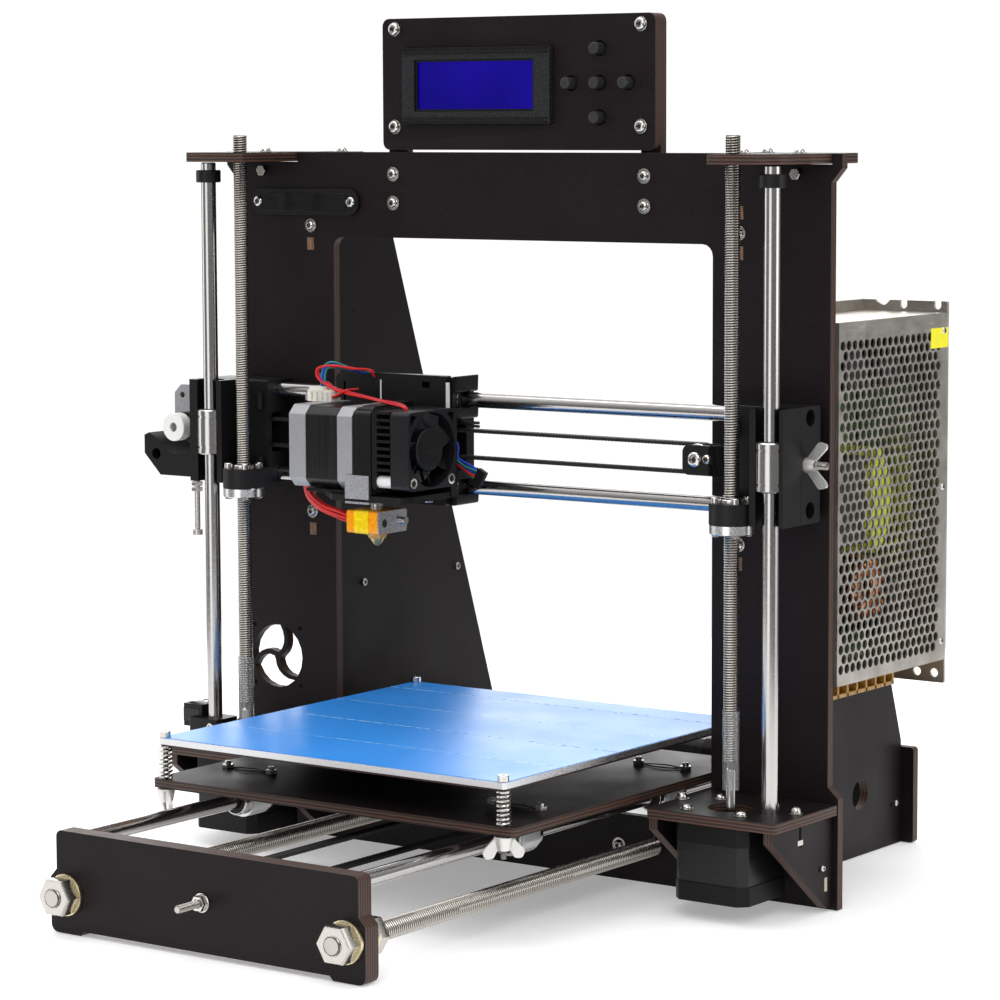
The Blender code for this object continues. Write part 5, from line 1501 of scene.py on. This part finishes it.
def extruder_drive():
    piece = Piece("extruder_stepper", "carriage", "motor", ("extruder_motor",))
    motor(piece, (-48.5, EXTRUDER_Y, EXTRUDER_Z), (1, 0, 0), 40.9, 11.5, 10.7,
          cast_aluminium(), laminations(0))
    piece.done(0.3, 40.0)
    piece = Piece("extruder_feed_block", "carriage", "black_plastic", ("extruder_block",))
    outline = rounded([
        (-76.0, 198.5, 1.0), (-34.4, 198.5, 1.0), (-34.4, 241.9, 2.0), (-76.0, 241.9, 3.2),
    ])
    piece.add(prism("YZ", (-46.2, -36.6), outline), gloss_black())
    piece.add(prism("YZ", (-48.2, -46.2), rectangle((-75.6, -34.4), (198.5, 241.5), 3.0),
                    [circle(EXTRUDER_Y, EXTRUDER_Z, 11.4, 40)]), gloss_black())
    piece.add(prism("YZ", (-36.4, -35.0), rectangle((-75.4, -34.6), (201.1, 241.1), 2.6)), black_plastic())
    foot = [(-80.0, -74.0), (-48.0, -74.0), (-48.0, -36.0), (-80.0, -36.0)]
    piece.add(prism("XY", (198.4, 200.0), foot), gloss_black())
    lever = rounded([(-72.0, 241.7, 0.0), (-38.0, 241.7, 0.0), (-36.0, 244.3, 1.5), (-70.0, 243.5, 1.5)])
    piece.add(prism("YZ", (-46.0, -38.0), lever), black_plastic())
    piece.done(0.6, 40.0, 3)
    piece = Piece("extruder_bracket", "carriage", "aluminium_wheel")
    piece.boxes(
        cast_aluminium(),
        ((-52.5, -37.3), (-77.1, -76.05), (196.3, 208.5)),
        ((-52.5, -37.3), (-77.1, -60.0), (193.9, 195.0)),
    )
    piece.done(0.3)


def cooling_fan():
    piece = Piece("heat_sink_comb", "carriage", "fan_plastic", ("cooling_fan",))
    fins = 9
    low, high = 209.0, 241.6
    pitch = (high - low) / fins
    comb = [(-34.7, low), (-34.7, high)]
    for i in reversed(range(fins)):
        base = low + i * pitch
        comb += [(-24.3, base + pitch), (-24.3, base + pitch - 1.4), (-32.6, base + pitch - 1.4)]
        comb.append((-32.6, base))
    anodised = plastic("black_anodised", (0.006, 0.006, 0.0065), 0.27, 0.9, 0.01, shine=0.3)
    piece.add(prism("XZ", (-76.0, -36.0), comb), anodised)
    piece.add(box((-34.7, -33.4), (-76.0, -36.0), (201.8, 209.2)), black_plastic())
    for way in (-1, 1):
        spot = (0.0, FAN_Y + way * FAN_SCREW, FAN_Z - FAN_SCREW)
        sleeve = [(3.15, -33.5), (3.15, -24.0), (1.7, -24.0), (1.7, -33.5)]
        piece.add(lathe(sleeve, spot, "X", 28, True), white_plastic())
    shell = plastic("fan_shell", (0.0065, 0.0067, 0.0085), 0.36, 1.0, 0.02, shine=0.28)
    half = 20.0
    square = rectangle((FAN_Y - half, FAN_Y + half), (FAN_Z - half, FAN_Z + half), 2.8)
    bore = circle(FAN_Y, FAN_Z, 19.0, 64)
    screws = [circle(FAN_Y + u * FAN_SCREW, FAN_Z + v * FAN_SCREW, 1.8, 16) for u, v in DIAGONALS]
    piece.add(prism("YZ", (-23.9, -15.4), square, [bore, *screws]), shell)
    corner = rounded([
        (11.6, 17.6, 0.8), (17.2, 18.6, 1.6), (18.6, 17.2, 1.6), (17.6, 11.6, 0.8), (15.6, 15.6, 1.0),
    ])
    pockets = [[(FAN_Y + u * a, FAN_Z + b) for a, b in corner] for u in (-1, 1)]
    piece.add(prism("YZ", (-15.4, -12.4), square, [bore, *pockets]), shell)
    for way in (-1, 1):
        spot = (-12.5, FAN_Y + way * FAN_SCREW, FAN_Z - FAN_SCREW)
        washer(piece, spot, (1, 0, 0), 1.7, 2.75, 0.45, nickel())
        cap_head(piece, (-13.6, *spot[1:]), (1, 0, 0), 1.7, 1.3, gloss_black())
    for i in range(4):
        angle = math.radians(20.0 + 90.0 * i)
        u, v = math.cos(angle), math.sin(angle)
        route = [(-22.9, FAN_Y + u * r, FAN_Z + v * r) for r in (8.0, 13.0, 19.4)]
        piece.add(sweep(route, 0.75, 8), shell)
    piece.add(lathe([(9.5, -23.8), (9.5, -22.6)], (0, FAN_Y, FAN_Z), "X", 32), shell)
    piece.done(0.3)

    piece = Piece("fan_blades", "fan_rotor", "fan_plastic", ("fan_rotor",))
    dark = plastic("fan_rotor_black", (0.006, 0.006, 0.007), 0.42, 0.9, 0.02, shine=0.28)
    front, back = -13.7, -22.3
    hub = [
        (10.4, back + 0.3), (11.0, back + 0.8), (11.1, front - 0.7), (10.5, front - 0.1),
        (9.6, front), (2.0, front), (1.6, front - 0.3),
    ]
    section = ((0.0, 0.0), (0.33, 0.25), (0.66, 0.25), (1.0, 0.0), (0.66, 0.95), (0.33, 0.95))
    piece.add(lathe(hub, (0, FAN_Y, FAN_Z), "X", 48), dark)
    for blade in range(7):
        rings = []
        for r in (10.6, 12.5, 14.5, 16.5, 18.3):
            lean = 2.0 * math.pi * blade / 7 + (r - 10.6) * 0.028
            ring = []
            for share, off in section:
                angle = lean + share * 0.62 + off / r
                x = front - 0.7 + (back + 1.2 - front) * share + off * 0.35
                ring.append((x, FAN_Y + r * math.cos(angle), FAN_Z + r * math.sin(angle)))
            rings.append(ring)
        piece.add(skin(rings), dark)
    piece.done()


def hot_end():
    x, y = NOZZLE
    orange = kapton("kapton_orange", (1.0, 0.40, 0.004))
    yellow = kapton("kapton_yellow", (1.0, 0.78, 0.004))
    piece = Piece("heater_block", "carriage", "hot_end", ("hot_end",))
    low, high = 178.5, 190.0
    bare = metal("bare_heater", (0.62, 0.62, 0.64), 0.3, 0.8)
    side = rectangle((y - 12.0, y + 12.0), (low, high), 1.4)
    holes = [circle(y - 6.6, low + 5.4, 2.15, 24)]
    piece.add(prism("YZ", (x + 6.5, x + 10.0), side, holes), bare)
    piece.add(prism("YZ", (x - 10.0, x + 6.5), side), bare)
    for start, stop, wrap, lift in ((-10.2, 9.4, orange, 0.14), (-5.4, 3.6, yellow, 0.28)):
        ring = rectangle((y - 12.0 - lift, y + 12.0 + lift), (low - lift, high + lift), 1.5)
        hole = rectangle((y - 11.6, y + 11.6), (low + 0.4, high - 0.4), 1.0)
        piece.add(prism("YZ", (x + start, x + stop), ring, [hole]), wrap)
    piece.add(lathe([(3.0, x + 9.6), (3.0, x + 9.7)], (0, y - 6.6, low + 5.4), "X", 20),
              socket_shadow())
    piece.add(rod((0, y + 8.2, low + 5.6), "X", (x + 9.5, x + 12.6), 1.9, 18), nickel())
    piece.add(lathe([(3.0, high - 0.2), (3.0, 198.1)], (x, y, 0), "Z", 28), zinc())
    for step in range(3):
        z = high + 0.9 + step * 1.4
        turn = [(3.0, z), (3.5, z + 0.2), (3.5, z + 0.5), (3.0, z + 0.7)]
        piece.add(lathe(turn, (x, y, 0), "Z", 24, True), zinc())
    shroud = kapton("kapton_brass", (0.62, 0.42, 0.16))
    collar = [(5.2, low + 0.2), (5.2, low - 1.6), (4.4, low - 3.4)]
    piece.add(lathe(collar, (x, y, 0), "Z", 6, phase=0.4), shroud)
    nozzle = [(3.6, low - 3.3), (3.4, 174.6), (1.9, 172.2), (0.75, 171.4), (0.7, 171.3)]
    piece.add(lathe(nozzle, (x, y, 0), "Z", 28), brass())
    piece.done(0.25)


def bundle(piece, route, offsets, radius, materials, sides=10):
    """Several wires side by side along one route, trading places a little."""
    path = smooth_path(route, 8)
    for index, ((u, v), material) in enumerate(zip(offsets, materials)):
        moved = []
        for step, point in enumerate(path):
            ahead = path[min(step + 1, len(path) - 1)] - path[max(step - 1, 0)]
            ahead.normalize()
            side = ahead.cross(Vector((0.15, 1.0, 0.1))).normalized()
            other = ahead.cross(side)
            sway = 0.25 * math.sin(step * 0.35 + index * 1.7)
            moved.append(point + side * (u + sway) + other * (v - sway * 0.6))
        piece.add(sweep(moved, radius, sides), material)


def carriage_wires():
    red, pink, blue, teal, black = (wire(name) for name in ("red", "pink", "blue", "teal", "black"))
    piece = Piece("heater_wires", "carriage", "wire", ("heater_leads",))
    route = [
        (-52.6, -68.0, 184.4), (-57.0, -68.0, 185.2), (-64.0, -68.0, 187.0), (-77.0, -66.0, 190.0),
        (-89.0, -61.0, 196.0), (-95.5, -54.0, 207.0), (-96.5, -49.0, 223.0), (-96.0, -45.0, 240.0),
        (-90.0, -43.0, 252.0),
    ]
    bundle(piece, route, [(-1.6, 0.9), (0.2, 1.1), (1.7, 0.3), (0.0, -0.9), (-1.5, -1.0)], 0.85, [red] * 5)
    piece.done()
    piece = Piece("fan_wires", "carriage", "wire")
    lead = [
        (-20.5, -66.0, 241.6), (-22.0, -65.6, 243.6), (-32.0, -62.0, 245.0), (-49.0, -53.0, 245.4),
        (-68.0, -50.0, 247.4), (-80.0, -50.0, 250.0), (-88.5, -50.0, 254.0), (-90.5, -50.0, 258.0),
        (-88.0, -49.5, 260.4), (-82.0, -46.0, 260.6), (-76.0, -40.0, 259.6), (-72.0, -35.0, 258.8),
        (-69.4, -31.6, 257.6), (-68.6, -29.0, 254.6),
    ]
    bundle(piece, lead, [(0.0, 0.0), (0.45, 1.0)], 0.62, [pink, red])
    loop = [
        (-86.0, -49.0, 242.2), (-87.4, -49.5, 248.6), (-87.6, -50.0, 255.0), (-86.4, -49.0, 260.4),
        (-83.0, -46.0, 261.6), (-77.0, -38.0, 258.8), (-74.0, -29.0, 256.6), (-73.0, -22.0, 254.0),
    ]
    bundle(piece, loop, [(-1.4, 0.0), (-0.2, 0.5), (1.0, 0.2)], 0.6, [teal, blue, teal])
    for i in range(4):
        route = [
            (-79.0, -53.0 + 1.6 * i, 245.2), (-75.5, -52.4 + 1.5 * i, 246.6 + 0.3 * i),
            (-72.5, -50.0 + 1.2 * i, 248.8), (-71.6, -44.0 + i, 249.0),
        ]
        piece.add(sweep(smooth_path(route), 0.62, 8), red)
    piece.boxes(
        connector_white(),
        ((-94.6, -79.2), (-54.2, -46.2), (242.8, 248.6)),
        ((-93.0, -84.4), (-54.6, -45.8), (248.4, 250.4)),
    )
    piece.add(box((-97.0, -94.4), (-53.0, -48.0), (243.0, 246.8)), wire("grey"))
    for i in range(4):
        x = -92.2 + 3.5 * i
        piece.add(box((x, x + 1.0), (-54.6, -54.0), (243.6, 247.6)), wire("cream"))
    piece.done(0.25)
    piece = Piece("carriage_wires", "carriage", "wire")
    tail = [
        (-27.0, -20.0, 224.0), (-24.0, -21.0, 220.0), (-22.6, -22.0, 214.0), (-16.5, -22.0, 209.9),
        (-10.0, -21.6, 207.4),
    ]
    bundle(piece, tail, [(-1.8, 0.4), (-0.6, -0.5), (0.6, 0.5), (1.7, -0.3)], 0.62, [red, blue, teal, blue])
    place = Matrix.Translation(Vector((-7.8, -21.4, 204.6))) @ Matrix.Rotation(math.radians(28.0), 4, "Y")
    piece.add(box((-2.6, 2.6), (-1.4, 1.4), (-5.4, 4.4)), black_plastic(), place)
    tail = [(-24.0, -20.0, 233.4), (-17.0, -20.5, 232.6), (-9.0, -20.0, 231.9)]
    bundle(piece, tail, [(-0.8, 0.0), (0.7, 0.3)], 0.8, [black, black])
    piece.done(0.2)


# ---------------------------------------------------------------- display

BOARD_FACE, BOARD_BACK = 5.3, 6.9


def display():
    ply_piece("lcd_housing", 1).done(0.25)
    screws = Piece("display_screws", "frame", "zinc_steel")
    for x in (-77.5, 77.0):
        for z in (435.0, 384.2):
            button_head(screws, (x, 0.0, z), (0, -1, 0), 3.3, 2.0, 3.7)
            nut(screws, (x, 10.3, z), (0, 1, 0), 5.5, 2.4)
    screws.done(0.12)
    left, right = -70.5, 23.5
    bottom, top = 385.5, 425.0
    piece = Piece("display_module", "frame", "display", ("lcd_module",))
    frame_black = plastic("display_frame", (0.016, 0.016, 0.018), 0.24, 1.1, 0.01)
    opening = rectangle((-62.6, 13.6), (392.0, 418.9), 0.6)
    bezel = rectangle((left, right), (bottom, top), 0.8)
    piece.add(prism("XZ", (-3.2, 5.8), bezel, [opening]), frame_black)
    inner = rectangle((-61.4, 12.4), (393.2, 417.7), 0.4)
    lip = rectangle((-62.7, 13.7), (391.9, 419.0), 0.4)
    piece.add(prism("XZ", (-2.2, -0.4), lip, [inner]), gloss_black())
    for z in (
        (bottom + 0.2, bottom + 1.6), (bottom + 2.6, bottom + 3.4),
        (top - 1.6, top - 0.2), (top - 3.4, top - 2.6),
    ):
        piece.add(box((left + 0.6, right - 1.6), (-4.0, -3.0), z), gloss_black())
    piece.add(box((-62.8, 13.8), (-0.8, 0.8), (391.8, 419.1)), screen_glass())
    piece.add(box((-78.0, 78.0), (BOARD_FACE, BOARD_BACK), (379.0, 434.0)), circuit_board())
    piece.boxes(
        black_plastic(),
        ((-66.0, -20.0), (BOARD_BACK, 9.2), (423.0, 431.5)),
        ((20.0, 40.0), (BOARD_BACK, 9.6), (383.0, 391.0)),
        ((46.0, 66.0), (BOARD_BACK, 9.6), (383.0, 391.0)),
    )
    buzzer = [(4.6, BOARD_BACK), (4.6, 9.8), (4.2, 10.1), (1.0, 10.1), (0.9, 9.4)]
    piece.add(lathe(buzzer, (62.0, 0, 424.0), "Y", 28), black_plastic())
    trimmer = plastic("trimmer_blue", (0.02, 0.09, 0.42), 0.35)
    piece.add(box((-44.0, -36.0), (BOARD_BACK, 9.8), (396.0, 404.0)), trimmer)
    pin = [(0.8, BOARD_BACK), (0.8, 8.4), (0.3, 8.8)]
    for i in range(16):
        piece.add(lathe(pin, (-64.0 + 2.8 * i, 0, 421.0), "Y", 8), nickel())
    random.seed(3)
    for _ in range(16):
        x, z = random.uniform(-30.0, 40.0), random.uniform(395.0, 418.0)
        w, h = random.choice(((2.0, 1.2), (1.2, 2.0), (5.0, 4.0)))
        piece.add(box((x, x + w), (BOARD_BACK, 7.9), (z, z + h)), black_plastic())
    piece.done(0.18)
    for name in ("select", "left", "right", "up", "down"):
        node_name = f"{name}_button"
        low, high = span(node_name)
        centre = middle(node_name)
        cap = Piece(f"{node_name}_cap", node_name, "button", (node_name,))
        profile = [
            (3.4, high.y), (3.4, high.y - 1.4), (3.05, high.y - 1.6), (3.05, low.y + 0.7),
            (2.75, low.y + 0.15), (2.2, low.y), (1.2, low.y + 0.12),
        ]
        black = plastic("button_black", (0.02, 0.02, 0.022), 0.4)
        cap.add(lathe(profile, (centre.x, 0, centre.z), "Y", 32), black)
        cap.done()


# ---------------------------------------------------------------- power supply

def supply_holes(y_span, z_span, columns, rows, radius):
    holes = []
    pitch_y = (y_span[1] - y_span[0]) / (columns - 0.5)
    pitch_z = (z_span[1] - z_span[0]) / (rows - 1)
    for row in range(rows):
        shift = 0.5 * (row % 2)
        for column in range(columns):
            y = y_span[0] + (column + shift) * pitch_y
            z = z_span[1] - row * pitch_z
            holes.append(circle(y, z, radius, 12))
    return holes


def power_supply():
    low, high = span("psu_cover")
    steel = galvanised()
    thin = 1.0
    piece = Piece("supply_cover", "frame", "galvanised", ("psu_cover",))
    holes = supply_holes((low.y + 3.6, low.y + 100.2), (low.z + 8.0, high.z - 11.5), 17, 33, 2.4)
    outline = rectangle((low.y, high.y), (low.z, high.z), 1.0)
    piece.add(prism("YZ", (high.x - thin, high.x), outline, holes), steel)
    slot = rectangle((162.0, 164.2), (high.y - 12.0, high.y - 6.0), 1.0)
    inset = high.x - 0.4
    roof = rectangle((low.x, inset), (low.y, high.y))
    sole = rectangle((150.0, inset), (low.y, high.y))
    front = rectangle((low.x, inset), (low.z, high.z - 0.4))
    piece.add(prism("XY", (high.z - thin, high.z), roof, [slot]), steel)
    piece.add(prism("XY", (low.z, low.z + thin), sole), steel)
    piece.add(prism("XZ", (low.y, low.y + thin), front), steel)
    for z in (120.0, 200.0, 280.0):
        button_head(piece, (high.x, high.y - 3.6, z), (1, 0, 0), 1.9, 0.9)
    piece.add(box((high.x, high.x + 0.22), (98.0, high.y + 0.9), (271.4, 281.6)), yellow_label())
    piece.done(0.2)

    low, high = span("psu_chassis")
    piece = Piece("supply_chassis", "frame", "galvanised", ("psu_chassis",))
    piece.add(box((low.x, low.x + 1.5), (6.0, high.y), (97.5, 294.7)), steel)
    foot, head = 97.5, 294.7
    flange = rounded([
        (low.x, foot, 0.0), (high.x, foot, 1.0), (high.x, head, 1.0), (184.6, head, 0.0),
        (184.6, 290.5, 1.9), (180.6, 290.5, 1.9), (180.6, head, 0.0), (164.8, head, 0.0),
        (164.8, 290.5, 1.9), (160.8, 290.5, 1.9), (160.8, head, 0.0),
        (155.0, head, 0.0), (151.5, 291.5, 2.5), (147.0, 293.6, 1.5), (146.0, head, 0.0),
        (low.x, head, 0.0),
    ])
    holes = [circle(x, 102.4, 2.2) for x in (172.6, 182.6)]
    piece.add(prism("XZ", (high.y - 1.5, high.y), flange, holes), steel)
    piece.done(0.2)

    piece = Piece("supply_inside", "frame", "circuit_board")
    board = circuit_board("supply_board", (0.05, 0.10, 0.03))
    piece.add(box((low.x + 1.6, low.x + 6.0), (10.0, 112.0), (98.5, 284.0)), board)
    core = plastic("ferrite", (0.03, 0.028, 0.026), 0.5)
    band = plastic("winding_tape", (0.80, 0.86, 0.05), 0.35, 2.0, 0.02, 0.08)
    turns = [math.radians(a) for a in range(-62, 64, 6)]
    outer = [(44.0 + 27.0 * math.cos(a), 198.0 + 31.0 * math.sin(a)) for a in turns]
    inner = [(44.0 + 9.0 * math.cos(a), 198.0 - 16.0 * math.sin(a)) for a in turns]
    piece.add(prism("YZ", (150.0, 181.5), outer + inner), band)
    piece.add(box((146.0, 178.0), (22.0, 52.0), (176.0, 220.0)), core)
    ring = [(14.5, 150.0), (14.5, 172.0), (12.5, 174.5), (8.0, 174.5), (6.0, 172.0), (6.0, 150.0)]
    piece.add(lathe(ring, (0, 62.0, 152.0), "X", 40, True), copper())
    for i in range(18):
        angle = ROUND * i / 18
        u, v = math.cos(angle), math.sin(angle)
        stations = ((150.5, 15.4), (173.5, 15.2), (176.0, 11.0))
        route = [(x, 62.0 + u * r, 152.0 + v * r) for x, r in stations]
        piece.add(sweep(smooth_path(route, 4), 1.2, 6), copper())
    sleeve = plastic("capacitor_sleeve", (0.03, 0.03, 0.035), 0.3)
    for y, z, r in (
        (24.0, 262.0, 11.0), (50.0, 262.0, 11.0), (92.0, 130.0, 7.0), (92.0, 148.0, 7.0),
        (24.0, 150.0, 6.0), (86.0, 262.0, 9.0),
    ):
        can = [
            (r - 0.6, 146.0), (r, 146.6), (r, 172.0), (r - 0.5, 172.8), (r - 1.6, 172.8),
            (r - 1.8, 172.2),
        ]
        piece.add(lathe(can, (0, y, z), "X", 28), sleeve)
    piece.boxes(
        metal("heat_sink_bar", (0.62, 0.62, 0.64), 0.3),
        ((146.0, 176.0), (100.0, 103.0), (170.0, 270.0)),
        ((146.0, 176.0), (12.0, 15.0), (180.0, 250.0)),
    )
    piece.done(0.2)

    piece = Piece("supply_terminals", "frame", "white_plastic")
    amber = amber_plastic()
    rows = 9
    pitch = 85.0 / rows
    strip = (11.0, 96.0)
    piece.boxes(
        amber,
        ((140.0, 150.0), strip, (98.0, 109.0)),
        ((150.0, 170.0), strip, (98.0, 100.0)),
        ((150.0, 158.0), strip, (107.0, 109.0)),
    )
    wall = [(150.0, 98.0), (170.0, 98.0), (170.0, 108.9), (150.0, 108.9)]
    for i in range(rows + 1):
        y = 11.0 + i * pitch
        start = min(max(y - 0.9, 11.0), 94.2)
        piece.add(prism("XZ", (start, start + 1.8), wall), amber)
        if i < rows:
            piece.add(box((150.0, 153.0), (y + 1.6, y + pitch - 1.6), (100.0, 107.0)), nickel())
            button_head(piece, (153.0, y + pitch / 2.0, 103.5), (1, 0, 0), 2.5, 1.8)
    piece.done(0.25)


# ---------------------------------------------------------------- controller

def controller():
    panel = span("controller_board")[1].x
    face = panel + 0.3 - 9.6
    piece = Piece("controller_circuit", "frame", "circuit_board", ("controller_board",))
    corners = [(y, z) for y in (23.0, 113.0) for z in (155.0, 235.0)]
    holes = [circle(y, z, 1.7, 14) for y, z in corners]
    board = rectangle((18.0, 118.0), (150.0, 240.0), 2.5)
    piece.add(prism("YZ", (face, face + 1.6), board, holes), circuit_board())
    sleeve = [(3.0, face + 1.6), (3.0, panel), (1.6, panel), (1.6, face + 1.6)]
    for y, z in corners:
        piece.add(lathe(sleeve, (0, y, z), "X", 24, True), white_plastic())
        button_head(piece, (face, y, z), (-1, 0, 0), 2.7, 1.7)
    green = plastic("terminal_green", (0.02, 0.26, 0.09), 0.35)
    for i in range(6):
        z = 165.5 + i * 10.0
        piece.add(box((face - 9.4, face), (22.0, 33.0), (z, z + 9.4)), green)
        button_head(piece, (face - 9.4, 27.5, z + 4.7), (-1, 0, 0), 2.0, 0.3)
    for i in range(5):
        y = 45.5 + i * 12.0
        piece.add(box((face - 4.6, face), (y, y + 11.0), (195.5, 214.5)), black_plastic())
        driver = box((face - 5.2, face - 4.6), (y + 1.0, y + 10.0), (197.0, 213.0))
        piece.add(driver, plastic("driver_red", (0.25, 0.02, 0.02), 0.4))
        for fin in range(4):
            across_fin = (y + 2.2 + fin * 1.9, y + 3.0 + fin * 1.9)
            piece.add(box((face - 5.9, face - 5.2), across_fin, (201.0, 209.0)),
                      metal("driver_fin", (0.7, 0.7, 0.72), 0.3))
    for y in (41.0, 60.0, 79.0, 96.0):
        piece.add(box((face - 7.4, face), (y, y + 13.0), (226.5, 233.5)), connector_white())
    piece.add(box((face - 7.0, face), (86.0, 99.0), (150.5, 164.0)), nickel())
    piece.add(box((face - 2.4, face), (60.0, 76.0), (172.0, 188.0)), gloss_black())
    piece.add(box((face - 5.6, face), (44.0, 82.0), (152.0, 158.6)), black_plastic())
    can = [(3.6, face), (3.6, face - 7.4), (3.2, face - 7.8), (0.8, face - 7.8)]
    can_metal = plastic("capacitor_can", (0.5, 0.5, 0.52), 0.3)
    for y, z in ((40.0, 180.0), (48.0, 180.0), (92.0, 180.0), (104.0, 200.0)):
        piece.add(lathe(can, (0, y, z), "X", 24), can_metal)
    piece.done(0.2)


# ---------------------------------------------------------------- everything

SECTIONS = (
    upright, side_panels, base_plates, top_plates, motor_shelves, z_motors, couplings_and_screws,
    z_rods, base_rods, y_rods, y_drive, bed_carriage, bed_plate, springs, left_x_end, right_x_end,
    x_rods, x_drive, x_carriage, extruder_drive, cooling_fan, hot_end, carriage_wires, display,
    power_supply, controller,
)

bpy.context.scene.view_settings.view_transform = "Standard"
add_camera()
add_world()
add_floor()
for section in SECTIONS:
    section()
add_softboxes()
